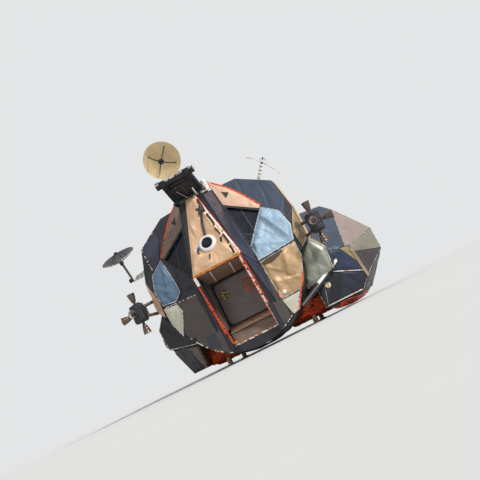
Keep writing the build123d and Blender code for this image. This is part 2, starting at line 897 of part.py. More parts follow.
def outrigger(middle, foot, carrier):
    """Two tubes that spread from a cluster towards a foot, with a tie between them, as far as the carrier."""
    quad_lift, root_lift, tie_lift = (
        Vector(0, 0, rise) for rise in (outrigger_quad_rise, outrigger_root_rise, outrigger_tie_rise)
    )
    tie = middle + (foot - middle).normalized() * outrigger_tie_reach
    with BuildPart() as truss:
        add(rod(middle - quad_lift, foot - root_lift, outrigger_radius))
        add(rod(middle + quad_lift, foot + root_lift, outrigger_radius))
        add(rod(tie - tie_lift, tie + tie_lift, outrigger_tie_radius))
        add(carrier, mode=Mode.SUBTRACT)
    return truss.part


# Attitude-jet clusters at the four corners: housings, four jets on each and the outriggers that carry them
quads = (
    # side, end, what carries the outrigger, where on it the outrigger's middle line ends
    (1, -1, cabin_outer, outrigger_fore_root),
    (-1, -1, cabin_outer, outrigger_fore_root),
    (1, 1, aft_bay_outer, outrigger_aft_root),
    (-1, 1, aft_bay_outer, outrigger_aft_root),
)
with BuildPart() as clusters:
    with BuildSketch(Plane.XY.offset(quad_height - quad_half_height)):
        with Locations(*[(side * quad_x, end * quad_y) for side, end, carrier, root in quads]):
            Rectangle(2 * quad_half_width, 2 * quad_half_width)
    extrude(amount=2 * quad_half_height)
    chamfer(clusters.edges().filter_by(Axis.Z), length=quad_chamfer)
save(clusters, "attitude_jet_clusters")

with BuildPart() as jets:
    for side, end, carrier, root in quads:
        x, y = side * quad_x, end * quad_y
        for origin, direction, level in (
            ((x, y, quad_height + quad_half_height), (0, 0, 1), (1, 0, 0)),
            ((x, y, quad_height - quad_half_height), (0, 0, -1), (1, 0, 0)),
            ((x + side * quad_half_width, y, quad_height), (side, 0, 0), (0, 1, 0)),
            ((x, y + end * quad_half_width, quad_height), (0, end, 0), (1, 0, 0)),
        ):
            add(jet(origin, direction, level))
save(jets, "attitude_jets")

with BuildPart() as outriggers:
    for side, end, carrier, root in quads:
        middle = Vector(side * quad_x, end * quad_y, quad_height)
        foot = Vector(side * root[0], end * root[1], quad_height)
        add(outrigger(middle, foot, carrier))
    add(clusters.part, mode=Mode.SUBTRACT)
save(outriggers, "jet_outriggers")

# Rendezvous radar. The pedestal stands on the nose, its legs hold a level shaft, and the yoke turns on that.
radar_tilt = math.radians(radar_pitch)
boresight = Vector(0, -math.cos(radar_tilt), -math.sin(radar_tilt))
radar_up = Vector(0, -math.sin(radar_tilt), math.cos(radar_tilt))
radar_shaft = Vector(0, radar_shaft_y, radar_shaft_height)
radar_trunnion = radar_shaft + radar_up * radar_trunnion_offset
radar_drum_half = radar_leg_x - radar_leg_thickness / 2 - radar_running_gap
radar_end_start = radar_leg_x + radar_leg_thickness / 2 + radar_running_gap
radar_foot_y = nose_top_y + radar_base_depth / 2 - radar_base_overhang
radar_base_top = nose_top_height + radar_base_thickness
with BuildPart() as pedestal:
    with BuildSketch(Plane.XY.offset(nose_top_height)):
        with Locations((0, radar_foot_y)):
            Rectangle(radar_base_width, radar_base_depth)
    extrude(amount=radar_base_thickness)
    for side in (1, -1):
        with BuildSketch(Plane.YZ.offset(side * radar_leg_x)):
            with Locations((radar_shaft_y, radar_shaft_height)):
                Circle(radar_leg_head_radius)
            with Locations((radar_foot_y, radar_base_top)):
                Rectangle(radar_leg_foot, radar_base_thickness)
            make_hull()
            with Locations((radar_shaft_y, radar_shaft_height)):
                Circle(radar_pin_radius + shaft_play, mode=Mode.SUBTRACT)
        extrude(amount=radar_leg_thickness / 2, both=True)
    with BuildSketch(Plane.YZ):
        web_y = radar_foot_y + radar_web_rise * (radar_shaft_y - radar_foot_y)
        web_z = radar_base_top + radar_web_rise * (radar_shaft_height - radar_base_top)
        with Locations((web_y, web_z)):
            Circle(radar_web_radius)
        with Locations((radar_foot_y, radar_base_top)):
            Rectangle(radar_leg_foot - 2 * radar_web_radius, radar_base_thickness)
        make_hull()
    extrude(amount=radar_leg_x, both=True)
save(pedestal, "radar_pedestal")

with BuildPart() as yoke:
    with BuildSketch(Plane.YZ):
        with Locations((radar_shaft_y, radar_shaft_height)):
            Circle(radar_drum_radius)
    extrude(amount=radar_drum_half, both=True)
    with BuildSketch(Plane.YZ):
        with Locations((radar_shaft_y, radar_shaft_height)):
            Circle(radar_pin_radius)
    extrude(amount=radar_end_start + radar_end_drum_length, both=True)
    for side in (1, -1):
        with BuildSketch(Plane.YZ.offset(side * radar_end_start)):
            with Locations((radar_shaft_y, radar_shaft_height)):
                Circle(radar_drum_radius)
        extrude(amount=side * radar_end_drum_length)
    post_length = radar_trunnion_offset - radar_sleeve_half_length - radar_running_gap
    with BuildSketch(Plane(origin=radar_shaft, z_dir=radar_up)):
        Circle(radar_post_radius)
    extrude(amount=post_length)
    with BuildSketch(Plane(origin=radar_shaft, z_dir=radar_up)):
        Circle(radar_trunnion_radius)
    extrude(amount=radar_trunnion_offset + radar_sleeve_half_length)
save(yoke, "radar_yoke")


def dish(vertex, axis, cross, radius, depth, thickness):
    """A shallow bowl that opens along axis, with its profile on the plane of cross and axis."""
    shares = [step / dish_section_count for step in range(dish_section_count + 1)]
    front = [(radius * share, depth * share**2) for share in shares]
    back = [(out, along - thickness) for out, along in reversed(front)]
    with BuildPart() as bowl:
        with BuildSketch(Plane(origin=vertex, x_dir=cross, z_dir=cross.cross(axis))):
            with BuildLine():
                Polyline(*front, *back, close=True)
            make_face()
        revolve(axis=Axis(vertex, axis))
    return bowl.part


def feed(vertex, axis, cross, shape):
    """The feed at the focus of a dish, on four struts from the bowl."""
    root, depth, focus, hub_radius, hub_length, strut_radius, turn = shape
    other = axis.cross(cross)
    with BuildPart() as horn:
        with BuildSketch(Plane(origin=vertex + axis * focus, z_dir=axis)):
            Circle(hub_radius)
        extrude(amount=-hub_length)
        for quarter in range(4):
            angle = math.radians(turn + 90 * quarter)
            out = cross * math.cos(angle) + other * math.sin(angle)
            start = vertex + out * root + axis * (depth - strut_radius)
            end = vertex + axis * (focus - hub_length / 2) + out * (hub_radius / 2)
            add(rod(start, end, strut_radius))
    return horn.part


across = Vector(1, 0, 0)
with BuildPart() as radar_dish:
    radar_vertex = radar_trunnion + boresight * radar_dish_stand_off
    add(dish(radar_vertex, boresight, across, radar_dish_radius, radar_dish_depth, radar_dish_thickness))
    strut_depth = radar_dish_depth * (radar_strut_root / radar_dish_radius) ** 2
    radar_feed = (
        radar_strut_root, strut_depth, radar_focus, radar_hub_radius, radar_hub_length, radar_strut_radius,
        radar_strut_turn,
    )
    add(feed(radar_vertex, boresight, across, radar_feed))
    with BuildSketch(Plane(origin=radar_trunnion, z_dir=boresight)):
        Circle(radar_stem_radius)
    extrude(amount=radar_dish_stand_off)
    with BuildSketch(Plane(origin=radar_trunnion, z_dir=radar_up)):
        Circle(radar_sleeve_radius)
    extrude(amount=radar_sleeve_half_length, both=True)
    with BuildSketch(Plane(origin=radar_trunnion, z_dir=radar_up)):
        Circle(radar_trunnion_radius + shaft_play)
    extrude(amount=radar_sleeve_half_length, both=True, mode=Mode.SUBTRACT)
save(radar_dish, "radar_dish")

# Steerable dish: a mast tube on the starboard side, an arm that turns in it, and the dish on the arm's post
comm_tilt = math.radians(comm_elevation)
comm_sight = Vector(0, -math.cos(comm_tilt), math.sin(comm_tilt))
comm_pivot_axis = Vector(0, math.sin(comm_tilt), math.cos(comm_tilt))
comm_shaft = Vector(comm_dish_x, comm_shaft_y, comm_shaft_height)
comm_pivot = comm_shaft + comm_sight * comm_post_length
with BuildPart() as comm_mast:
    with BuildSketch(Plane.YZ.offset(-comm_mast_end_x)):
        with Locations((comm_shaft_y, comm_shaft_height)):
            Circle(comm_mast_radius)
    extrude(amount=comm_mast_length)
    add(cabin_outer, mode=Mode.SUBTRACT)
    with BuildSketch(Plane.YZ.offset(-comm_mast_end_x)):
        with Locations((comm_shaft_y, comm_shaft_height)):
            Circle(comm_shaft_radius + shaft_play)
    extrude(amount=comm_bore_depth, mode=Mode.SUBTRACT)
save(comm_mast, "steerable_dish_mast")

with BuildPart() as comm_arm:
    with BuildSketch(Plane.YZ.offset(comm_dish_x - comm_shaft_radius)):
        with Locations((comm_shaft_y, comm_shaft_height)):
            Circle(comm_shaft_radius)
    extrude(amount=comm_shaft_radius - comm_dish_x - comm_mast_end_x + comm_bore_depth - comm_pin_end_gap)
    with BuildSketch(Plane.YZ.offset(-comm_mast_end_x - comm_collar_gap)):
        with Locations((comm_shaft_y, comm_shaft_height)):
            Circle(comm_mast_radius)
    extrude(amount=-comm_collar_length)
    with BuildSketch(Plane(origin=comm_shaft, z_dir=comm_sight)):
        Circle(comm_post_radius)
    extrude(amount=comm_post_length)
    with BuildSketch(Plane(origin=comm_pivot, z_dir=comm_pivot_axis)):
        Circle(comm_hub_radius)
    extrude(amount=comm_hub_half_length, both=True)
    with BuildSketch(Plane(origin=comm_pivot, z_dir=comm_pivot_axis)):
        Circle(comm_pivot_radius + shaft_play)
    extrude(amount=comm_hub_half_length, both=True, mode=Mode.SUBTRACT)
save(comm_arm, "steerable_dish_arm")

with BuildPart() as comm_dish:
    comm_vertex = comm_pivot + comm_sight * comm_dish_stand_off
    add(dish(comm_vertex, comm_sight, across, comm_dish_radius, comm_dish_depth, comm_dish_thickness))
    strut_depth = comm_dish_depth * (comm_strut_root / comm_dish_radius) ** 2
    comm_feed = (
        comm_strut_root, strut_depth, comm_focus, comm_feed_radius, comm_feed_length, comm_strut_radius,
        comm_strut_turn,
    )
    add(feed(comm_vertex, comm_sight, across, comm_feed))
    for side in (1, -1):
        ear_start = side * (comm_hub_half_length + hinge_axial_gap)
        with BuildSketch(Plane(origin=comm_pivot, x_dir=comm_sight, z_dir=comm_pivot_axis).offset(ear_start)):
            Circle(comm_ear_radius)
            ear_length = comm_dish_stand_off - comm_dish_thickness / 2
            Rectangle(ear_length, 2 * comm_ear_radius, align=(Align.MIN, Align.CENTER))
        extrude(amount=side * comm_ear_thickness)
    with BuildSketch(Plane(origin=comm_pivot, z_dir=comm_pivot_axis)):
        Circle(comm_pivot_radius)
    extrude(amount=comm_hub_half_length + hinge_axial_gap + comm_ear_thickness, both=True)
save(comm_dish, "steerable_dish")

# Tracking light on the nose's upper panel
upper_panel_slope = (0, nose_tip_height - nose_top_height, nose_top_y - nose_tip_y)
light_share = (light_height - nose_tip_height) / (nose_top_height - nose_tip_height)
light_y = nose_tip_y + (nose_top_y - nose_tip_y) * light_share
light_plane = Plane(origin=(0, light_y, light_height), x_dir=(1, 0, 0), z_dir=upper_panel_slope)
with BuildPart() as bezel:
    with BuildSketch(light_plane):
        Circle(light_bezel_radius)
        Circle(light_lens_radius, mode=Mode.SUBTRACT)
    extrude(amount=light_bezel_depth)
    chamfer(bezel.faces().sort_by(Axis.Y)[0].edges().sort_by(SortBy.RADIUS)[-1], length=light_bezel_depth / 2)
save(bezel, "tracking_light_bezel")
with BuildPart() as lens:
    with BuildSketch(light_plane):
        Circle(light_lens_radius)
    extrude(amount=light_lens_depth)
save(lens, "tracking_light_lens")

# Two-way voice mast on the port shoulder, with its two whips
with BuildPart() as mast:
    add(rod(mast_root, mast_tip, mast_radius))
    whip_root = Vector(*mast_tip) + (Vector(*mast_root) - Vector(*mast_tip)).normalized() * mast_radius
    for tip in mast_whip_tips:
        add(rod(whip_root, tip, mast_whip_radius))
    add(cabin_outer, mode=Mode.SUBTRACT)
save(mast, "voice_antenna_mast")

# Small omnidirectional antenna on the port lower facet
nx, ny, nz = lower_facet_slope
omni_y = front_corner[1] - (nx * (omni_spot[0] - front_corner[0]) + nz * (omni_spot[1] - front_corner[2])) / ny
omni_plane = Plane(origin=(omni_spot[0], omni_y, omni_spot[1]), z_dir=lower_facet_slope)
with BuildPart() as omni:
    with BuildSketch(omni_plane):
        Circle(omni_radius)
    extrude(amount=omni_length)
    chamfer(omni.edges().filter_by(GeomType.CIRCLE).sort_by(Axis.Y)[0], length=omni_radius / 2)
save(omni, "forward_omni_antenna")

# A second one on the back of the aft equipment bay
with BuildPart() as aft_omni:
    with BuildSketch(Plane.XZ.offset(-aft_bay_back_y)):
        with Locations(aft_omni_spot):
            Circle(omni_radius)
    extrude(amount=-omni_length)
    chamfer(aft_omni.edges().filter_by(GeomType.CIRCLE).sort_by(Axis.Y)[-1], length=omni_radius / 2)
save(aft_omni, "aft_omni_antenna")

# Alignment telescope on the cabin roof: a barrel under a flared sunshade
with BuildPart() as telescope:
    with BuildSketch(Plane.XZ.offset(-telescope_y)):
        with BuildLine():
            telescope_top = roof_height + telescope_height
            Polyline(
                (0, roof_height),
                (telescope_radius, roof_height),
                (telescope_radius, telescope_top),
                (telescope_shade_radius, telescope_top + telescope_shade_height),
                (telescope_shade_radius - telescope_shade_wall, telescope_top + telescope_shade_height),
                (telescope_radius - telescope_shade_wall, telescope_top),
                (0, telescope_top),
                close=True,
            )
        make_face()
    revolve(axis=Axis((0, telescope_y, 0), (0, 0, 1)))
save(telescope, "alignment_telescope")

# Docking target beside the tunnel: a disc with a cross that stands off it on a post
with BuildPart() as target:
    with BuildSketch(Plane.XY.offset(mid_roof_height)):
        with Locations(target_spot):
            Circle(target_radius)
    extrude(amount=target_thickness)
    with BuildSketch(Plane.XY.offset(mid_roof_height)):
        with Locations(target_spot):
            Circle(target_post_radius)
    extrude(amount=target_post_height)
    with BuildSketch(Plane.XY.offset(mid_roof_height + target_post_height)):
        with Locations(target_spot):
            Rectangle(target_cross_length, target_cross_width)
            Rectangle(target_cross_width, target_cross_length)
    extrude(amount=target_thickness)
save(target, "docking_target")

# Brace from under the cabin to the port tank housing
with BuildPart() as brace:
    run = Vector(*brace_end) - Vector(*brace_start)
    with BuildSketch(Plane(origin=brace_start, x_dir=run.cross(Vector(0, 0, 1)), z_dir=run)):
        Rectangle(brace_width, brace_height)
    extrude(amount=run.length)
    add(cabin_outer, mode=Mode.SUBTRACT)
    add(port_tank_form, mode=Mode.SUBTRACT)
    add(module_form(1), mode=Mode.SUBTRACT)
save(brace, "port_housing_brace")
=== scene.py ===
"""Dresses the ascent stage of a lunar lander: crinkled film panels, taped seams, foil, jets, dishes and glass.

Metres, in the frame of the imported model. +X is port, -Y is forward and +Z is up.
"""

import math
from functools import wraps

import bpy
from bpy.props import FloatProperty, FloatVectorProperty, PointerProperty
from bpy.types import Operator, Panel, PropertyGroup
from mathutils import Matrix, Vector, noise
from mathutils.kdtree import KDTree


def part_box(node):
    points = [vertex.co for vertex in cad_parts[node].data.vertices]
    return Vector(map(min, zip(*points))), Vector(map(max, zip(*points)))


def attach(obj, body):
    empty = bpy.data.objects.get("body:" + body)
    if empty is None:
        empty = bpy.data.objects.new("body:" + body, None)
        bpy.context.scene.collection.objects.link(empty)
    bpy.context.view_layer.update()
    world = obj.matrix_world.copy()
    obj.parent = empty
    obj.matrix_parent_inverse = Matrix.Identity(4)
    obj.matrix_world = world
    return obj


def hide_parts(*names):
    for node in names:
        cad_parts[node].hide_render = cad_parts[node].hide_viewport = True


bl_info = {
    "name": "Lunar Lander Ascent Stage",
    "version": (1, 0, 0),
    "blender": (4, 5, 0),
    "location": "3D View > Sidebar > Ascent Stage",
    "description": "Builds the film panels, foil, jets, dishes and fittings of a lander's ascent stage",
    "category": "Object",
}

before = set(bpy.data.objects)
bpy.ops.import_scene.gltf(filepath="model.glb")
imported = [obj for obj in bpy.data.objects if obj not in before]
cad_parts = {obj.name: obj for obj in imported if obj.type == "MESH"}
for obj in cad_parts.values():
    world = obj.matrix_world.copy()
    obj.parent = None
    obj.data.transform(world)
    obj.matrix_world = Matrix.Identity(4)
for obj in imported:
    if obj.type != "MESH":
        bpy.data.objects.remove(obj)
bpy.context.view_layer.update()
HULL = "hull"


# Settings


def tone(label, where, value):
    """A colour setting."""
    return FloatVectorProperty(name=label, description=f"Colour of {where}", subtype="COLOR", default=value)


def length(label, what, value, low, high):
    """A length setting."""
    return FloatProperty(name=label, description=what, unit="LENGTH", default=value, min=low, max=high)


class FilmSettings(PropertyGroup):
    """Colours of the thermal film and foil."""

    tan: tone("Tan Film", "the sunlit tan film", (0.7, 0.45, 0.27))
    gold: tone("Gold Film", "the large cabin panel", (0.5, 0.325, 0.17))
    sky: tone("Sky Film", "the light blue panel", (0.3, 0.42, 0.53))
    # On the starboard window facet this mid blue is a darker copy of the sky film: painted shade.
    steel: tone("Steel Film", "the mid blue panel", (0.1, 0.165, 0.25))
    slate: tone("Slate Film", "the slate blue panels", (0.043, 0.062, 0.095))
    dusk: tone("Dusk Film", "the dark purple grey panels", (0.04, 0.042, 0.066))
    navy: tone("Navy Film", "the dark blue panels", (0.022, 0.034, 0.072))
    # On the starboard lower facet a sheet of this film is a painted patch of sunlight.
    cream: tone("Cream Film", "the pale panels", (0.58, 0.555, 0.44))
    pink: tone("Pink Film", "the pinkish grey panel", (0.33, 0.25, 0.225))
    stone: tone("Stone Film", "the grey tan panels", (0.25, 0.23, 0.175))
    # On the jet tank modules' upward facets this film is painted light.
    olive: tone("Olive Film", "the olive panels", (0.3, 0.225, 0.13))
    sage: tone("Sage Film", "the grey green panel", (0.34, 0.36, 0.29))
    # On the starboard window's shade this film is painted shade.
    umber: tone("Umber Film", "the recess over the hatch", (0.2, 0.14, 0.105))
    # On the starboard lower facet this film is painted shade.
    taupe: tone("Taupe Film", "the dark brown grey panels", (0.085, 0.07, 0.062))
    cocoa: tone("Cocoa Film", "the darkest brown panels", (0.045, 0.034, 0.034))
    bark: tone("Bark Film", "the forward hatch", (0.15, 0.115, 0.105))
    shade: tone("Shade Film", "the shade over the window", (0.76, 0.49, 0.35))
    fold: tone("Fold Film", "the shaded fold under the light blue panel", (0.095, 0.062, 0.038))
    blush: tone("Blush Film", "the pink patch by the white antenna", (0.72, 0.33, 0.2))
    # Besides the black blankets, this film is painted shade on the starboard window facet, on the nose's starboard
    # sides and on the jet tank modules' shaded sides.
    soot: tone("Soot Film", "the near black blankets", (0.022, 0.021, 0.028))
    ember: tone("Ember Foil", "the orange red foil", (0.82, 0.085, 0.018))
    copper: tone("Copper Skirt", "the engine's skirt", (0.5, 0.2, 0.13))


class PanelSettings(PropertyGroup):
    """Sizes of the panels and of their crinkles."""

    lift: length("Lift", "How far panels stand off the wall", 0.014, 0.001, 0.03)
    gap: length("Gap", "Half the gap between panels", 0.004, 0.001, 0.02)
    cell: length("Cell", "Size of the mesh's cells", 0.018, 0.01, 0.1)
    crease: length("Crease", "Height of the sharp creases", 0.016, 0.0, 0.05)
    billow: length("Billow", "Height of the soft folds", 0.02, 0.0, 0.06)
    hem: length("Hem", "Width over which a panel lies flat at its edge", 0.06, 0.001, 0.2)
    tape: length("Tape", "Width of the tape over the seams", 0.016, 0.004, 0.05)


class StageSettings(PropertyGroup):
    """The camera and the studio."""

    azimuth: FloatProperty(
        name="Azimuth", description="Camera's turn round the craft", subtype="ANGLE", default=math.radians(8.64)
    )
    roll: FloatProperty(
        name="Roll", description="Camera's turn about its own axis", subtype="ANGLE", default=math.radians(26.43)
    )
    height: length("Height", "Camera's height over the floor", 0.12, 0.02, 5)
    distance: length("Distance", "Camera's distance", 11.46, 5, 30)
    lens: FloatProperty(name="Lens", description="Focal length on a 36 mm sensor", unit="CAMERA", default=48.66)
    key_power: FloatProperty(name="Key", description="Strength of the key light", default=2.7, min=0, max=10)
    fill: FloatProperty(name="Fill", description="Strength of the light all round", default=0.48, min=0, max=3)
    floor: tone("Floor", "the floor", (0.78, 0.78, 0.77))


# Working in the scene


def only(piece):
    """Makes a piece the one that is selected and active."""
    for other in list(bpy.context.selected_objects):
        other.select_set(False)
    piece.select_set(True)
    bpy.context.view_layer.objects.active = piece


def edit(piece, kind="FACE"):
    """Opens a piece in edit mode with all of it selected."""
    only(piece)
    bpy.ops.object.mode_set(mode="EDIT")
    bpy.ops.mesh.select_mode(type=kind)
    bpy.ops.mesh.select_all(action="SELECT")


def close():
    """Leaves edit mode."""
    bpy.ops.object.mode_set(mode="OBJECT")


def pick(piece, kind, chosen):
    """Selects some of a piece's faces, edges or vertices by index, and opens it in edit mode."""
    mesh = piece.data
    for group in (mesh.vertices, mesh.edges, mesh.polygons):
        group.foreach_set("select", [False] * len(group))
    items = {"FACE": mesh.polygons, "EDGE": mesh.edges, "VERT": mesh.vertices}[kind]
    for index in chosen:
        items[index].select = True
    only(piece)
    bpy.context.tool_settings.mesh_select_mode = (kind == "VERT", kind == "EDGE", kind == "FACE")
    bpy.ops.object.mode_set(mode="EDIT")


def apply_all(piece):
    """Applies a piece's modifiers in order."""
    only(piece)
    for modifier in list(piece.modifiers):
        bpy.ops.object.modifier_apply(modifier=modifier.name)


def settle(piece):
    """Puts a piece's place into its mesh."""
    only(piece)
    bpy.ops.object.transform_apply(location=True, rotation=True, scale=True)


def join(pieces, name):
    """Joins several pieces into one."""
    only(pieces[0])
    for piece in pieces[1:]:
        piece.select_set(True)
    if len(pieces) > 1:
        bpy.ops.object.join()
    joined = bpy.context.view_layer.objects.active
    joined.name = name
    joined.data.name = name
    return joined


def finish_piece(piece, body, slot, smooth=30, *nodes):
    """Shades a finished piece, sets what it rides on and hides the nodes that it stands for; its slot is not used."""
    only(piece)
    bpy.ops.object.shade_smooth_by_angle(angle=math.radians(smooth))
    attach(piece, body)
    if nodes:
        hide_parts(*nodes)
    return piece


def copy_of(node, name):
    """A copy of a CAD node as a new piece, with its loose triangles merged into flat facets."""
    piece = bpy.data.objects.new(name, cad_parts[node].data.copy())
    bpy.context.scene.collection.objects.link(piece)
    edit(piece)
    bpy.ops.mesh.remove_doubles(threshold=2e-5)
    bpy.ops.mesh.select_all(action="SELECT")
    bpy.ops.mesh.dissolve_limited(angle_limit=math.radians(0.4))
    close()
    piece.data.materials.clear()
    return piece


# Finishes


def nodes_of(name):
    """A new material with its node tree, shader and object coordinates."""
    material = bpy.data.materials.new(name)
    material.use_nodes = True
    tree = material.node_tree
    shader = tree.nodes["Principled BSDF"]
    place = tree.nodes.new("ShaderNodeTexCoord")
    return material, tree, shader, place.outputs["Object"]


def feed(tree, node, inputs):
    """Links each of a node's inputs to another node's output, or sets it to a plain value."""
    for key, value in inputs.items():
        if isinstance(value, bpy.types.NodeSocket):
            tree.links.new(value, node.inputs[key])
        else:
            node.inputs[key].default_value = value
    return node


def added(tree, kind, inputs, **settings):
    """A new node with its settings and inputs."""
    node = tree.nodes.new(f"ShaderNode{kind}")
    for key, value in settings.items():
        setattr(node, key, value)
    return feed(tree, node, inputs)


def noise_node(tree, place, scale, detail=3.0, rough=0.55, twist=0.0):
    """A noise pattern at a place."""
    inputs = {"Vector": place, "Scale": scale, "Detail": detail, "Roughness": rough, "Distortion": twist}
    return added(tree, "TexNoise", inputs).outputs["Fac"]


def ramp_node(tree, value, stops):
    """Colours along a value, from (position, colour) stops."""
    node = tree.nodes.new("ShaderNodeValToRGB")
    while len(node.color_ramp.elements) < len(stops):
        node.color_ramp.elements.new(0.5)
    for element, (position, colour) in zip(node.color_ramp.elements, stops):
        element.position = position
        element.color = (*colour, 1.0) if len(colour) == 3 else colour
    tree.links.new(value, node.inputs["Fac"])
    return node.outputs["Color"]


def bump_node(tree, height, distance, strength=1.0, below=None):
    """A bump from a height, over another bump where one is given."""
    inputs = {"Height": height, "Distance": distance, "Strength": strength}
    if below is not None:
        inputs["Normal"] = below
    return added(tree, "Bump", inputs).outputs["Normal"]


def crease_node(tree, place, scale, warp=0.35):
    """The ridges of crumpled film: cell edges on a warped place."""
    wobble = added(tree, "TexNoise", {"Vector": place, "Scale": scale * 0.6}).outputs["Color"]
    inputs = {"Fac": warp / scale * 4, "Color1": place, "Color2": wobble}
    warped = added(tree, "MixRGB", inputs, blend_type="ADD").outputs["Color"]
    cells = added(tree, "TexVoronoi", {"Scale": scale, "Vector": warped}, feature="DISTANCE_TO_EDGE")
    return cells.outputs["Distance"]


def tint(colour, share):
    """A colour made darker below 1 or lighter above it."""
    return tuple(min(1.0, max(0.0, part * share)) for part in colour)


def wired(material, tree, shader, colour, rough, normal, metallic=0.0):
    """Feeds a material's shader and gives the material back."""
    feed(tree, shader, {"Base Color": colour, "Roughness": rough, "Normal": normal, "Metallic": metallic})
    return material


def once(make):
    """Makes a material when its name is first asked for, and finds it after that."""

    @wraps(make)
    def found(name, *values):
        return bpy.data.materials.get(name) or make(name, *values)

    return found


def greys(tree, value, low, high, end=0.7):
    """Grey along a value, from low to high."""
    return ramp_node(tree, value, ((0.3, (low,) * 3), (end, (high,) * 3)))


@once
def film(name, colour, metallic=0.25, rough=0.42, grain=9.0, bump=0.003, spread=0.28):
    """Crinkled thin film: a mottled colour, soft sheen and fine creases."""
    material, tree, shader, place = nodes_of(name)
    stops = ((0.25, tint(colour, 1 - spread)), (0.5, colour), (0.78, tint(colour, 1 + spread)))
    mottle = ramp_node(tree, noise_node(tree, place, 2.4, 5.0, 0.6, 0.4), stops)
    sheen = greys(tree, noise_node(tree, place, 5.5, 3.0), rough - 0.1, rough + 0.12, 0.75)
    fine = bump_node(tree, crease_node(tree, place, grain * 2.3), bump * 0.5)
    creases = bump_node(tree, crease_node(tree, place, grain), bump, 1.0, fine)
    return wired(material, tree, shader, mottle, sheen, creases, metallic)


@once
def foil(name, colour, dark, grain=16.0):
    """Crumpled metallic foil, with painted streaks of shadow in its hollows and painted highlights on its ridges."""
    material, tree, shader, place = nodes_of(name)
    squeeze = added(tree, "VectorMath", {0: place, 1: (0.5, 0.5, 1.8)}, operation="MULTIPLY").outputs["Vector"]
    ridges = noise_node(tree, squeeze, grain, 4.0, 0.6, 1.2)
    # The colour follows the ridges of the bump: the dark colour is painted shadow in the hollows, the lightest is
    # painted highlight on the crests.
    stops = ((0.34, dark), (0.44, tint(colour, 0.62)), (0.54, colour), (0.68, tint(colour, 1.3)))
    fine = bump_node(tree, noise_node(tree, place, grain * 4, 4.0), 0.004)
    return wired(
        material, tree, shader, ramp_node(tree, ridges, stops), 0.34, bump_node(tree, ridges, 0.016, 1.0, fine), 0.35
    )


@once
def taped(name, base, marks, share=0.5, scale=26.0):
    """Tape with small marks, as where beads of another colour show through it; some of its materials use the marks as
    painted glints.
    """
    material, tree, shader, place = nodes_of(name)
    cells = added(tree, "TexVoronoi", {"Vector": place, "Scale": scale}).outputs["Color"]
    part = added(tree, "SeparateColor", {"Color": cells})
    stops = [(0.0, base), (share - 0.02, base)]
    stops += [(share + index * (1 - share) / len(marks), mark) for index, mark in enumerate(marks)]
    grit = bump_node(tree, noise_node(tree, place, 60.0, 3.0), 0.002)
    return wired(material, tree, shader, ramp_node(tree, part.outputs["Red"], stops), 0.5, grit)


@once
def metal(name, colour, rough=0.35, metallic=0.9, streak=30.0, spread=0.2):
    """Worn metal with faint streaks and patches."""
    material, tree, shader, place = nodes_of(name)
    streaks = noise_node(tree, place, streak, 5.0, 0.65)
    stops = ((0.3, tint(colour, 1 - spread)), (0.55, colour), (0.8, tint(colour, 1 + spread)))
    haze = greys(tree, noise_node(tree, place, streak * 0.4, 2.0), max(0.05, rough - 0.1), rough + 0.12)
    return wired(
        material, tree, shader, ramp_node(tree, streaks, stops), haze, bump_node(tree, streaks, 0.0006), metallic
    )


def glass(name, colour):
    """Dark window glass with a faint smear."""
    material, tree, shader, place = nodes_of(name)
    smear = noise_node(tree, place, 6.0, 4.0)
    colours = ramp_node(tree, smear, ((0.3, tint(colour, 0.6)), (0.8, tint(colour, 1.5))))
    haze = greys(tree, smear, 0.04, 0.14, 0.8)
    feed(tree, shader, {"Base Color": colours, "Roughness": haze, "Specular IOR Level": 0.22, "IOR": 1.5})
    return material


def banded(name, colours, spacing, axis):
    """Paint in bands along one direction, with grime."""
    material, tree, shader, place = nodes_of(name)
    step = tuple(Vector(axis).normalized() / spacing)
    dot = added(tree, "VectorMath", {0: place, 1: step}, operation="DOT_PRODUCT").outputs["Value"]
    part = added(tree, "Math", {0: dot}, operation="FRACT")
    stops = []
    for index, colour in enumerate(colours):
        start = index / len(colours)
        stops += [(start + 0.001, colour), (start + 1 / len(colours) - 0.02, colour)]
    grime = bump_node(tree, noise_node(tree, place, 40.0, 4.0), 0.002)
    return wired(material, tree, shader, ramp_node(tree, part.outputs["Value"], stops), 0.5, grime)


# Film panels


def wrinkle_texture(name, kind, scale):
    """A solid texture that drives a displacement."""
    if name in bpy.data.textures:
        return bpy.data.textures[name]
    texture = bpy.data.textures.new(name, kind)
    texture.noise_scale = scale
    if kind == "VORONOI":
        texture.weight_1 = -1.0
        texture.weight_2 = 1.0
        texture.noise_intensity = 2.2
    else:
        texture.noise_depth = 2
    return texture


def push(piece, strength, texture=None, middle=0.5):
    """Moves a piece's surface along its normals, by a texture or evenly."""
    if not strength:
        return
    modifier = piece.modifiers.new("push", "DISPLACE")
    modifier.strength = strength
    modifier.mid_level = middle if texture else 0.0
    if texture:
        modifier.texture = texture


def crinkled(piece, depth):
    """Crinkles a piece's surface as thin tape does."""
    push(piece, depth, wrinkle_texture("tape_crinkle", "CLOUDS", 0.03), 0.4)
    apply_all(piece)


def fold_height(spot, normal, start, end, height, width):
    """How far a long fold between two points lifts a spot: it is steep on one side and easy on the other."""
    run = end - start
    away = spot - start
    share = away.dot(run) / run.length_squared
    if not 0 < share < 1:
        return 0.0
    side = (away - run * share).dot(normal.cross(run.normalized()))
    reach = width if side > 0 else width * 0.35
    return height * math.sin(math.pi * share) ** 0.5 * max(0.0, 1 - abs(side) / reach) ** 1.3


def valley(place):
    """From 0 along the creases of a crumpled sheet to 1 between them."""
    near = noise.voronoi(place)[0]
    return min(1.0, (near[1] - near[0]) * 2.0)


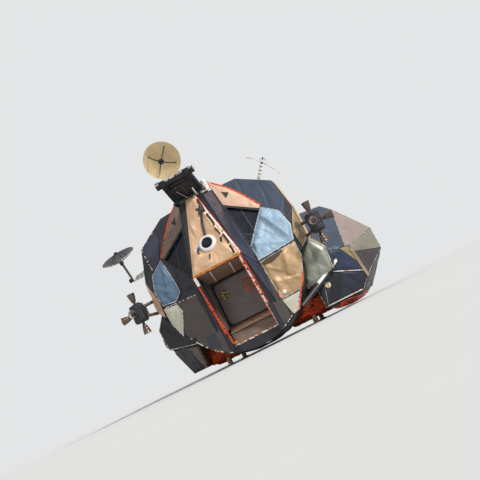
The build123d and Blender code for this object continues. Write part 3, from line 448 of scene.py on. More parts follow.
def wrinkle(piece, crease, billow, along=None, folds=()):
    """Lifts a sheet's free points: soft folds drawn out along a direction, creases of two sizes, and set folds."""
    run = Vector(along or (0.35, 0.25, -0.9)).normalized()
    points = [(vertex.co.copy(), vertex.normal.copy()) for vertex in piece.data.vertices]
    for vertex, (spot, normal) in zip(piece.data.vertices, points):
        drawn = spot - run * (spot.dot(run) * 0.6)
        rise = billow * (0.55 + noise.noise(drawn / 0.17)) + crease * valley(drawn / 0.2)
        rise += crease * 0.4 * valley(spot / 0.085)
        rise += sum(fold_height(spot, normal, *fold) for fold in folds)
        vertex.co = spot + normal * (max(0.0, rise) * vertex.groups[0].weight)


def cut_in_cells(piece, cell):
    """Cuts a piece's faces by planes across each axis, so that they can wrinkle."""
    corners = [Vector(corner) for corner in piece.bound_box]
    low = [min(corner[axis] for corner in corners) for axis in range(3)]
    high = [max(corner[axis] for corner in corners) for axis in range(3)]
    edit(piece)
    for axis in range(3):
        normal = [0.0, 0.0, 0.0]
        normal[axis] = 1.0
        count = int((high[axis] - low[axis]) / cell)
        for step in range(1, count + 1):
            spot = list(low)
            spot[axis] = low[axis] + (high[axis] - low[axis]) * (step - 0.37) / count
            bpy.ops.mesh.select_all(action="SELECT")
            bpy.ops.mesh.bisect(plane_co=spot, plane_no=normal)
    close()


def free_of_edges(piece, hem):
    """Weights a piece's points by their distance from its open edges."""
    mesh = piece.data
    uses = [0] * len(mesh.edges)
    index = {tuple(sorted(edge.vertices)): edge.index for edge in mesh.edges}
    for face in mesh.polygons:
        for key in face.edge_keys:
            uses[index[tuple(sorted(key))]] += 1
    rim = {vertex for edge in mesh.edges if uses[edge.index] == 1 for vertex in edge.vertices}
    tree = KDTree(max(1, len(rim)))
    for spot in rim:
        tree.insert(mesh.vertices[spot].co, spot)
    tree.balance()
    group = piece.vertex_groups.new(name="free")
    for vertex in mesh.vertices:
        away = tree.find(vertex.co)[2] if rim else hem
        share = min(1.0, away / hem)
        group.add([vertex.index], share * share * (3 - 2 * share), "REPLACE")


def crumple(piece, crease, billow, hem, along=None, folds=(), rim=0.005, flat=()):
    """Crinkles a sheet whose faces are cut in cells, but for flat places in it, and turns in its rim."""
    free_of_edges(piece, hem)
    for middle, reach in flat:
        for vertex in piece.data.vertices:
            share = (vertex.co - Vector(middle)).length / reach
            if share < 1.4:
                vertex.groups[0].weight *= max(0.0, min(1.0, (share - 1) / 0.4))
    if crease or billow or folds:
        wrinkle(piece, crease, billow, along, folds)
        ease = piece.modifiers.new("ease", "SMOOTH")
        ease.iterations = 2
        ease.vertex_group = "free"
    wall = piece.modifiers.new("rim", "SOLIDIFY")
    wall.thickness = rim
    wall.offset = -1
    wall.use_rim_only = True
    apply_all(piece)


def panels(
    name, node, choose, slot, body=HULL, seams=(), cell=None, crease=None, billow=None, hem=None, gap=None, lift=None,
    fold=8, along=None,
):
    """Film panels over a node's facets, parted at folds and along seams.

    choose gives each facet's material, or None to leave it bare. A seam is a plane, and it parts only the facets
    that face along its third item where it has one.
    """
    sizes = bpy.context.scene.ascent_panels
    cell, hem = cell or sizes.cell, hem or sizes.hem
    crease = sizes.crease if crease is None else crease
    billow = sizes.billow if billow is None else billow
    piece = copy_of(node, name)
    for spot, normal, *facing in seams:
        way = Vector(facing[0]).normalized() if facing else None
        chosen = [face.index for face in piece.data.polygons if way is None or face.normal.dot(way) > 0.97]
        pick(piece, "FACE", chosen)
        bpy.ops.mesh.bisect(plane_co=spot, plane_no=normal)
        close()
    bare = []
    for face in piece.data.polygons:
        material = choose(face.center, face.normal)
        if material is None:
            bare.append(face.index)
            continue
        if material.name not in piece.data.materials:
            piece.data.materials.append(material)
        face.material_index = piece.data.materials.find(material.name)
    pick(piece, "FACE", bare)
    bpy.ops.mesh.delete(type="FACE")
    close()
    pick(piece, "EDGE", seam_edges(piece, seams, fold))
    bpy.ops.mesh.edge_split(type="EDGE")
    close()
    edit(piece)
    bpy.ops.mesh.inset(thickness=gap or sizes.gap, use_boundary=True, use_even_offset=True)
    bpy.ops.mesh.select_all(action="INVERT")
    bpy.ops.mesh.delete(type="FACE")
    close()
    push(piece, lift or sizes.lift)
    apply_all(piece)
    cut_in_cells(piece, cell)
    crumple(piece, crease, billow, hem, along)
    return finish_piece(piece, body, slot)


def seam_edges(piece, seams, fold=8):
    """The edges where panels part: folds between facets, and edges that lie on a seam's plane."""
    mesh = piece.data
    faces = {}
    for face in mesh.polygons:
        for key in face.edge_keys:
            faces.setdefault(tuple(sorted(key)), []).append(face.normal)
    found = []
    for edge in mesh.edges:
        sides = faces.get(tuple(sorted(edge.vertices)), [])
        if len(sides) != 2:
            continue
        a, b = (mesh.vertices[index].co for index in edge.vertices)
        on_seam = any(
            abs((a - Vector(seam[0])).dot(Vector(seam[1]).normalized())) < 1e-4
            and abs((b - Vector(seam[0])).dot(Vector(seam[1]).normalized())) < 1e-4
            for seam in seams
        )
        if on_seam or sides[0].angle(sides[1], 0) > math.radians(fold):
            found.append(edge.index)
    return found


def strip(start, end, up, width, height, cuts=0):
    """A flat strip of tape or a bar between two points, with its broad side along up."""
    start, end, up = Vector(start), Vector(end), Vector(up).normalized()
    along = (end - start).normalized()
    across = up.cross(along).normalized()
    up = along.cross(across)
    bpy.ops.mesh.primitive_cube_add(size=1, location=(start + end) / 2)
    piece = bpy.context.active_object
    piece.matrix_world = Matrix.Translation((start + end) / 2) @ facing(along, across, up)
    piece.scale = ((end - start).length, width, height)
    settle(piece)
    if cuts:
        mesh = piece.data
        long_edges = []
        for edge in mesh.edges:
            first, last = (mesh.vertices[index].co for index in edge.vertices)
            if abs((first - last).normalized().dot(along)) > 0.9:
                long_edges.append(edge.index)
        pick(piece, "EDGE", long_edges)
        bpy.ops.mesh.subdivide(number_cuts=cuts)
        close()
    return piece


def tapes(name, node, choose, material, slot, body=HULL, width=None, fold=8, lift=0.003):
    """Tape over the folds between a node's facets."""
    width = width or bpy.context.scene.ascent_panels.tape
    piece = copy_of(node, name + "_guide")
    mesh = piece.data
    sides = {}
    for face in mesh.polygons:
        if choose(face.center, face.normal) is not None:
            for key in face.edge_keys:
                sides.setdefault(tuple(sorted(key)), []).append(Vector(face.normal))
    made = []
    for (a, b), normals in sorted(sides.items()):
        if len(normals) != 2 or normals[0].angle(normals[1], 0) < math.radians(fold):
            continue
        start, end = mesh.vertices[a].co.copy(), mesh.vertices[b].co.copy()
        if (end - start).length < 0.05:
            continue
        up = (normals[0] + normals[1]).normalized()
        made.append((start + up * lift, end + up * lift, up))
    bpy.data.objects.remove(piece)
    if not made:
        raise RuntimeError(f"{name}: there is no fold to tape")
    strips = [strip(a, b, up, width, 0.006, max(1, int((b - a).length / 0.03))) for a, b, up in made]
    tape = join(strips, name)
    crinkled(tape, 0.006)
    tape.data.materials.append(material)
    return finish_piece(tape, body, slot)


def patch(
    name, outline, up, material, slot, body=HULL, lift=0.008, cell=0.014, crease=0.012, billow=0.02, hem=0.06,
    along=None, folds=(), flat=(),
):
    """One sheet of film with a convex outline, laid over a facet."""
    outline = [Vector(spot) for spot in outline]
    up = Vector(up).normalized()
    middle = sum(outline, Vector()) / len(outline)
    length = (outline[1] - outline[0]).normalized()
    length = (length - up * length.dot(up)).normalized()
    across = up.cross(length)
    reach = max((spot - middle).length for spot in outline) * 2.02
    count = max(4, int(reach / cell))
    bpy.ops.mesh.primitive_grid_add(x_subdivisions=count, y_subdivisions=count, size=reach)
    piece = bpy.context.active_object
    piece.name = name
    piece.matrix_world = Matrix.Translation(middle + up * lift) @ facing(length, across, up)
    settle(piece)
    edit(piece)
    for first, second in zip(outline, outline[1:] + outline[:1]):
        out = (second - first).cross(up).normalized()
        if out.dot(middle - first) > 0:
            out = -out
        bpy.ops.mesh.select_all(action="SELECT")
        bpy.ops.mesh.bisect(plane_co=first, plane_no=out, clear_outer=True)
    close()
    crumple(piece, crease, billow, hem, along, folds, flat=flat)
    piece.data.materials.append(material)
    return finish_piece(piece, body, slot)


def facing(along, across, up):
    """The matrix that turns X, Y and Z to three directions."""
    return Matrix(
        ((along.x, across.x, up.x, 0), (along.y, across.y, up.y, 0), (along.z, across.z, up.z, 0), (0, 0, 0, 1))
    )


def ribbon(name, spots, up, width, material, slot, crinkle=0.012, body=HULL):
    """A strip of film that hangs along a smooth curve through three points, with its broad side along up."""
    start, middle, end = (Vector(spot) for spot in spots)
    up = Vector(up).normalized()
    bend = middle * 2 - (start + end) / 2
    cuts = max(12, int((end - start).length / 0.015))
    bpy.ops.mesh.primitive_grid_add(x_subdivisions=cuts, y_subdivisions=4, size=1)
    piece = bpy.context.active_object
    piece.name = name
    for vertex in piece.data.vertices:
        share = vertex.co.x + 0.5
        place = start * (1 - share) ** 2 + bend * 2 * share * (1 - share) + end * share**2
        run = ((bend - start) * (1 - share) + (end - bend) * share).normalized()
        vertex.co = place + up.cross(run).normalized() * (vertex.co.y * width)
    edit(piece)
    bpy.ops.mesh.normals_make_consistent(inside=False)
    close()
    push(piece, crinkle, wrinkle_texture("small_creases", "VORONOI", 0.105), 0.3)
    push(piece, crinkle * 0.6, wrinkle_texture("fine_creases", "VORONOI", 0.045), 0.3)
    wall = piece.modifiers.new("rim", "SOLIDIFY")
    wall.thickness = 0.005
    apply_all(piece)
    piece.data.materials.append(material)
    return finish_piece(piece, body, slot)


def hang(piece, outline, depth, reach):
    """Lets the middle of a level sheet sag, rounded towards the sides of a convex outline."""
    middle = sum((Vector(spot) for spot in outline), Vector()) / len(outline)
    sides = []
    for first, second in zip(outline, outline[1:] + outline[:1]):
        inward = (Vector(second) - Vector(first)).cross(Vector(UP)).normalized()
        sides.append((Vector(first), inward if inward.dot(middle - Vector(first)) > 0 else -inward))
    for vertex in piece.data.vertices:
        share = min((vertex.co - first).dot(inward) for first, inward in sides) / reach
        vertex.co.z -= depth * (1 - (1 - max(0.0, min(1.0, share))) ** 2)
    piece.data.update()


def tube(name, points, radius, sides=10):
    """A round bar or wire through points, as one mesh."""
    parts = []
    for start, end in zip(points, points[1:]):
        start, end = Vector(start), Vector(end)
        bpy.ops.mesh.primitive_cylinder_add(vertices=sides, radius=radius, depth=(end - start).length)
        part = bpy.context.active_object
        turn = Vector(UP).rotation_difference(end - start)
        part.matrix_world = Matrix.Translation((start + end) / 2) @ turn.to_matrix().to_4x4()
        settle(part)
        parts.append(part)
    for spot in points[1:-1]:
        bpy.ops.mesh.primitive_uv_sphere_add(segments=sides, ring_count=6, radius=radius, location=spot)
        settle(bpy.context.active_object)
        parts.append(bpy.context.active_object)
    return join(parts, name)


def turned(name, profile, origin, axis, steps=48):
    """A turned piece: a profile of (radius, height) spun about an axis through an origin."""
    bpy.ops.mesh.primitive_plane_add(size=1)
    piece = bpy.context.active_object
    edit(piece, "VERT")
    bpy.ops.mesh.merge(type="CENTER")
    bpy.ops.transform.translate(value=(profile[0][0], 0, profile[0][1]))
    for (r0, z0), (r1, z1) in zip(profile, profile[1:]):
        bpy.ops.mesh.extrude_region_move(TRANSFORM_OT_translate={"value": (r1 - r0, 0, z1 - z0)})
    bpy.ops.mesh.select_all(action="SELECT")
    bpy.ops.mesh.spin(steps=steps, angle=math.tau, center=(0, 0, 0), axis=(0, 0, 1), dupli=False)
    bpy.ops.mesh.select_all(action="SELECT")
    bpy.ops.mesh.remove_doubles(threshold=1e-5)
    bpy.ops.mesh.normals_make_consistent(inside=False)
    close()
    turn = Vector(UP).rotation_difference(Vector(axis))
    piece.matrix_world = Matrix.Translation(Vector(origin)) @ turn.to_matrix().to_4x4()
    settle(piece)
    piece.name = name
    return piece


def block(name, low, high, edge):
    """A bar or box between two corners, with eased edges."""
    low, high = Vector(low), Vector(high)
    bpy.ops.mesh.primitive_cube_add(size=1, location=(low + high) / 2, scale=high - low)
    piece = bpy.context.active_object
    piece.name = name
    settle(piece)
    ease = piece.modifiers.new("ease", "BEVEL")
    ease.width = edge
    ease.segments = 2
    apply_all(piece)
    return piece


def chooser(table, share=0.985):
    """Gives a facet the film of the first row whose direction it faces."""
    rows = [(Vector(slope).normalized(), key) for slope, key in table]

    def choose(spot, normal):
        for slope, key in rows:
            if normal.dot(slope) > share:
                return skin(key)
        return None

    return choose


def skin(key):
    """The film of a named colour."""
    metallic, rough, grain, bump, spread = FINISHES.get(key, FINISHES["plain"])
    return film(f"{key}_film", getattr(bpy.context.scene.ascent_film, key), metallic, rough, grain, bump, spread)


def mirrored(spot, side):
    """A place or direction on the port side, or its mirror image on the starboard side."""
    return Vector((spot[0] * side, spot[1], spot[2]))


def on_facet(point, slope, x, z, side=1, lift=0.0):
    """The place on a flat facet at a given X and Z."""
    y = point[1] - (slope[0] * (x - point[0]) + slope[2] * (z - point[2])) / slope[1]
    return mirrored(Vector((x, y, z)) + Vector(slope).normalized() * lift, side)


def on_nose(x, z, lift=0.0):
    """The place on the nose's front at a given X and Z."""
    front = Vector(NOSE_FRONT).normalized()
    return Vector((x, NOSE_TIP[1] + (z - NOSE_TIP[2]) * front.z / -front.y, z)) + front * lift


def pairs(spots, closed=False):
    """Each place of a run with the next one."""
    return list(zip(spots, spots[1:] + (spots[:1] if closed else [])))


def stuck(name, rows, up, slot, material, width=0.02, height=0.006, body=HULL, crinkle=0.004):
    """Tape along straight runs, each given by its two ends."""
    strips = [strip(a, b, up, width, height, max(1, int((Vector(b) - Vector(a)).length / 0.03))) for a, b in rows]
    tape = join(strips, name)
    crinkled(tape, crinkle)
    tape.data.materials.append(material)
    return finish_piece(tape, body, slot)


def crumpled_run(name, start, end, up, width, material, slot, depth=0.035, lift=0.012):
    """A strip of foil that is crumpled deep along an edge."""
    start, end, up = Vector(start), Vector(end), Vector(up).normalized()
    across = up.cross(end - start).normalized() * (width / 2)
    outline = [start - across, end - across, end + across, start + across]
    return patch(name, outline, up, material, slot, HULL, lift, 0.011, depth * 0.55, depth, 0.02)


def coloured(piece, *materials):
    """Gives a piece its materials, the first one on all of it."""
    piece.data.materials.clear()
    for material in materials:
        piece.data.materials.append(material)
    return piece


def painted(piece, material, slot, body=HULL, smooth=30):
    """Gives a piece one material and finishes it."""
    return finish_piece(coloured(piece, material), body, slot, smooth)


def wear(node, material):
    """Gives a CAD node a material."""
    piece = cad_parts[node]
    for slot in piece.material_slots:
        slot.material = material
    if not piece.material_slots:
        piece.data.materials.append(material)


SIDES = ((1, "port"), (-1, "starboard"))

FINISHES = {
    # metallic, roughness, creases to the metre, bump in metres, mottle
    "plain": (0.22, 0.42, 9.0, 0.003, 0.22),
    "sky": (0.08, 0.55, 8.0, 0.004, 0.3),
    "tan": (0.18, 0.48, 9.0, 0.003, 0.22),
    "gold": (0.18, 0.5, 8.0, 0.003, 0.26),
    "soot": (0.1, 0.5, 14.0, 0.004, 0.35),
    "dusk": (0.16, 0.42, 9.0, 0.004, 0.2),
    "steel": (0.16, 0.4, 8.0, 0.004, 0.22),
    "cream": (0.18, 0.44, 8.0, 0.003, 0.1),
    "navy": (0.18, 0.45, 11.0, 0.004, 0.3),
    "slate": (0.22, 0.42, 9.0, 0.003, 0.22),
}

# Facets of the craft, by a point on each and the way it faces on the port side
WINDOW_SPOT, WINDOW = (1.242, -1.689, 1.357), (0.2, -0.9, 0.38)
LOWER_SPOT, LOWER = (1.242, -1.689, 1.357), (0.27, -0.956, -0.108)
CORNER = (0.79, -0.61, 0.0)
WAIST, UPPER_SIDE, KNEE_SIDE = (1, 0, 0), (0.982, 0, 0.189), (0.667, 0, -0.745)
SHOULDER, UP, FORWARD = (0.522, 0, 0.853), (0, 0, 1), (0, -1, 0)
NOSE_FRONT, NOSE_SIDE, NOSE_LOWER_SIDE = (0, -0.943, 0.333), (1.0, -0.25, 0.26), (1.0, -0.575, -0.11)
NOSE_TIP = (0.43, -2.184, 1.522)
RADAR_PIVOT, RADAR_SIGHT, RADAR_UP = (0, -2.26944, 3.4654), (0, -0.9114, -0.41151), (0, -0.41151, 0.9114)
RADAR_SHAFT = (0, -2.118, 3.13)
DISH_PIVOT, DISH_SIGHT, DISH_AXIS = (-1.83, -0.94888, 2.53146), (0, -0.45399, 0.89101), (0, 0.89101, 0.45399)
DISH_SHAFT = (-0.78, 2.2)
QUAD, QUAD_HALF_WIDTH, QUAD_HALF_HEIGHT = (1.679, 1.672, 1.472), 0.105, 0.15
# The height of the round belly's axis, and its radius
BELLY_AXIS, BELLY_RADIUS = 1.256, 1.172
# The throat's radius of the attitude jets and of the engine, what each bell adds to it, and the engine's length
JET_BELL, ENGINE_BELL, ENGINE_LENGTH = (0.024, 0.046), (0.085, 0.309), 0.685

# Sheets over the front facets: which side and facet, the film, the corners in X and Z, and the folds,
# each by its two ends in X and Z, its height and its width
PORT_WINDOW, PORT_LOWER = (1, WINDOW_SPOT, WINDOW), (1, LOWER_SPOT, LOWER)
STARBOARD_WINDOW, STARBOARD_LOWER = (-1, WINDOW_SPOT, WINDOW), (-1, LOWER_SPOT, LOWER)
SHEETS = (
    (
        "port_sky_sheet", PORT_WINDOW, "sky",
        ((0.965, 2.15), (1.222, 1.95), (1.3, 1.64), (1.238, 1.368), (0.6, 1.308), (0.575, 1.6)),
        (
            ((0.86, 2.1), (1.21, 1.39), 0.06, 0.24),
            ((1.12, 1.39), (0.56, 1.6), 0.034, 0.17),
            ((0.6, 1.44), (0.92, 1.9), 0.028, 0.15),
        ),
    ),
    (
        "port_gold_sheet", PORT_LOWER, "gold",
        ((0.6, 1.284), (1.232, 1.346), (1.235, 1.1), (1.096, 0.76), (0.994, 0.622), (0.64, 0.596)),
        (
            ((1.01, 1.33), (0.9, 0.88), 0.056, 0.22),
            ((1.13, 0.79), (0.65, 0.9), 0.034, 0.17),
            ((0.62, 1.18), (0.9, 0.98), 0.026, 0.14),
        ),
    ),
    ("port_cream_sheet", PORT_LOWER, "cream", ((0.64, 0.575), (0.96, 0.59), (0.81, 0.33), (0.7, 0.3)), ()),
    (
        "port_fold_shadow", PORT_LOWER, "fold",
        ((0.612, 1.262), (0.74, 1.29), (1.0, 1.312), (0.985, 1.262), (0.77, 1.205), (0.64, 1.205)), (),
    ),
    (
        "port_blush", PORT_LOWER, "blush",
        ((0.622, 0.64), (0.64, 0.735), (0.7, 0.77), (0.748, 0.722), (0.735, 0.65), (0.68, 0.612)), (),
    ),
    # The starboard mid blue sheet is a darker copy of the light blue one: painted shade.
    (
        "starboard_steel_sheet", STARBOARD_WINDOW, "steel",
        ((1.005, 2.15), (1.254, 1.964), (1.305, 1.677), (1.225, 1.385), (0.96, 1.345), (0.84, 1.463), (0.877, 1.672)),
        (((0.9, 1.48), (1.23, 1.7), 0.026, 0.1), ((1.0, 2.05), (1.06, 1.5), 0.02, 0.1)),
    ),
    (
        "starboard_dusk_sheet", STARBOARD_WINDOW, "dusk",
        ((0.915, 2.55), (0.94, 2.735), (1.3, 2.515), (1.207, 2.035), (1.028, 2.185)), (),
    ),
    # The starboard cream sheet is a painted patch of sunlight on a lower facet that is otherwise painted shade.
    (
        "starboard_cream_sheet", STARBOARD_LOWER, "cream",
        ((1.23, 1.335), (0.973, 1.3), (0.93, 1.16), (1.13, 0.79), (1.225, 1.05)),
        (((1.0, 1.23), (1.19, 0.9), 0.022, 0.08),),
    ),
    (
        "starboard_grey_sheet", STARBOARD_LOWER, "dusk", ((0.776, 0.596), (0.606, 0.587), (0.617, 0.34), (0.78, 0.44)),
        (),
    ),
)


class ASCENT_OT_cabin_film(Operator):
    """Covers the crew cabin with film panels and lays the large crinkled sheets over its front facets"""

    bl_idname = "ascent.cabin_film"
    bl_label = "Cabin Film"

    def execute(self, context):
        beads = taped("hem_stitches", (0.62, 0.62, 0.6), ((0.1, 0.1, 0.11), (0.3, 0.3, 0.3)), 0.6, 40)
        for side, word in SIDES:
            seams = [((side * 0.8, 0, 0), (1, 0, 0)), ((side * 1.13, 0, 0), (1, 0, 0))]
            # On the starboard side the window facet's near black film is painted shade, and so is the lower facet's
            # dark taupe there.
            window, lower, corner = ("slate", "taupe", "olive") if side > 0 else ("soot", "taupe", "tan")
            panels(
                f"{word}_window_film", f"{word}_window_panel", chooser([(mirrored(WINDOW, side), window)]),
                "cabin_skin", seams=seams, crease=0.003, billow=0.002, lift=0.006,
            )
            panels(
                f"{word}_lower_film", f"{word}_lower_panel", chooser([(mirrored(LOWER, side), lower)]), "cabin_skin",
                crease=0.005, billow=0.003, lift=0.006,
            )
            panels(
                f"{word}_corner_film", f"{word}_corner_panel", chooser([(mirrored(CORNER, side), corner)]),
                "cabin_skin", crease=0.018, billow=0.02, along=(0.4, 0.5, 0.8),
            )
            table = [
                (mirrored(UPPER_SIDE, side), "tan" if side > 0 else "stone"), (mirrored(WAIST, side), "soot"),
                (mirrored(KNEE_SIDE, side), "soot"),
            ]
            panels(
                f"{word}_side_film", f"{word}_cabin_side", chooser(table, 0.97), "cabin_skin", crease=0.008,
                billow=0.008,
            )
        table = [(UP, "slate"), (SHOULDER, "slate"), (mirrored(SHOULDER, -1), "slate")]
        seams = [((x, 0, 0), (1, 0, 0)) for x in (-0.35, 0.0, 0.35)]
        panels(
            "roof_film", "cabin_roof", chooser(table), "cabin_skin", seams=seams, lift=0.006, billow=0.01, crease=0.008,
        )
        tapes("roof_beads", "cabin_roof", chooser(table), beads, "cabin_skin", width=0.01, lift=0.01)

        def belly(spot, normal):
            out = Vector((spot.x, 0, spot.z - BELLY_AXIS))
            return skin("soot") if abs(normal.y) < 0.1 and normal.dot(out.normalized()) > 0.8 else None

        panels("belly_film", "cabin_belly", belly, "cabin_skin", crease=0.01, fold=40)
        # Beads along the lower facets' edges, foil down the port one's outer edge, and a round spot
        pale = taped("pale_beads", (0.74, 0.66, 0.58), ((0.03, 0.03, 0.035), (0.03, 0.03, 0.035)), 0.45, 30)

        def beaded(name, spots, slope, side):
            stuck(name, pairs(spots), mirrored(slope, side), "cabin_skin", pale, 0.014, 0.008, crinkle=0.006)

        for side, word in SIDES:
            arc = []
            for step in range(12):
                turn = math.radians(22 + 3.6 * step)
                x, z = BELLY_RADIUS * math.sin(turn), BELLY_AXIS - BELLY_RADIUS * math.cos(turn)
                arc.append(on_facet(LOWER_SPOT, LOWER, x, z, side, 0.014))
            beaded(f"{word}_belly_beads", arc, LOWER, side)
        top = [on_facet(LOWER_SPOT, LOWER, x, z, -1, 0.014) for x, z in ((0.56, 1.288), (1.19, 1.345))]
        beaded("starboard_ledge_beads", top, LOWER, -1)
        rim = [on_facet(WINDOW_SPOT, WINDOW, x, z, -1, 0.022) for x, z in ((0.94, 2.74), (1.306, 2.518), (1.21, 2.028))]
        beaded("starboard_dusk_beads", rim, WINDOW, -1)
        edge = [
            on_facet(LOWER_SPOT, LOWER, x, z, 1, 0.02)
            for x, z in ((1.13, 0.84), (1.098, 0.76), (0.998, 0.62), (0.968, 0.585), (0.812, 0.325))
        ]
        # The last colour is the painted shadow in the foil's creases.
        ember = foil("ember_foil", context.scene.ascent_film.ember, (0.1, 0.008, 0.004))
        stuck("port_lower_edge_foil", pairs(edge), LOWER, "red_foil", ember, 0.016, 0.01, crinkle=0.014)
        profile = ((0, 0.006), (0.0266, 0.006), (0.0304, 0.01), (0.038, 0.008), (0.038, -0.008))
        place = on_facet(LOWER_SPOT, LOWER, 0.997, 0.64, -1, 0.014)
        spot = turned("starboard_round_spot", profile, place, mirrored(LOWER, -1), 32)
        painted(spot, metal("starboard_round_spot_paint", (0.012, 0.011, 0.012), 0.5, 0.1), "cabin_skin")
        for name, (side, spot, slope), key, corners, folds in SHEETS:
            outline = [on_facet(spot, slope, x, z, side, 0.006) for x, z in corners]
            lines = [
                (on_facet(spot, slope, *start, side), on_facet(spot, slope, *end, side), height, width)
                for start, end, height, width in folds
            ]
            if folds:
                sizes = {"folds": lines, "lift": 0.014, "crease": 0.018, "billow": 0.022}
            else:
                sizes = {"crease": 0.004, "billow": 0.005, "lift": 0.038 if key in ("fold", "blush") else 0.01}
            sheet = patch(name, outline, mirrored(slope, side), skin(key), "cabin_skin", **sizes)
            hem = [on_facet(spot, slope, x, z, side, 0.019) for x, z in corners]
            if folds:
                stuck(f"{sheet.name}_hem", pairs(hem, True), mirrored(slope, side), "cabin_skin", beads, 0.01)
        return {"FINISHED"}


class ASCENT_OT_nose_film(Operator):
    """Covers the nose and lines the recess of the forward hatch"""

    bl_idname = "ascent.nose_film"
    bl_label = "Nose Film"

    def execute(self, context):
        # The starboard sides take the near black film as painted shade; the port sides keep the dark purple grey.
        shades = ((1, "dusk"), (-1, "soot"))
        table = [(mirrored(slope, side), key) for slope in (NOSE_SIDE, NOSE_LOWER_SIDE) for side, key in shades]
        table.append((UP, "slate"))
        panels("nose_film", "nose", chooser(table), "nose_skin", gap=0.006, crease=0.006, billow=0.006)
        outline = [on_nose(x, z) for x, z in ((-0.424, 1.53), (0.424, 1.53), (0.08, 2.806), (-0.08, 2.806))]
        folds = [
            (on_nose(-0.44, 1.6), on_nose(-0.14, 1.8), 0.036, 0.13),
            (on_nose(-0.42, 1.5), on_nose(-0.02, 1.62), 0.032, 0.11),
            (on_nose(0.36, 1.52), on_nose(0.12, 1.98), 0.028, 0.12),
            (on_nose(-0.14, 2.46), on_nose(-0.13, 2.06), 0.024, 0.1),
            (on_nose(0.1, 2.6), on_nose(0.2, 2.1), 0.02, 0.08),
        ]
        flat = [(on_nose(0, 1.924), 0.17), (on_nose(-0.17, 1.905), 0.05)]
        patch(
            "nose_front_sheet", outline, NOSE_FRONT, skin("tan"), "nose_skin", lift=0.008, crease=0.014, billow=0.018,
            folds=folds, flat=flat,
        )
        return {"FINISHED"}


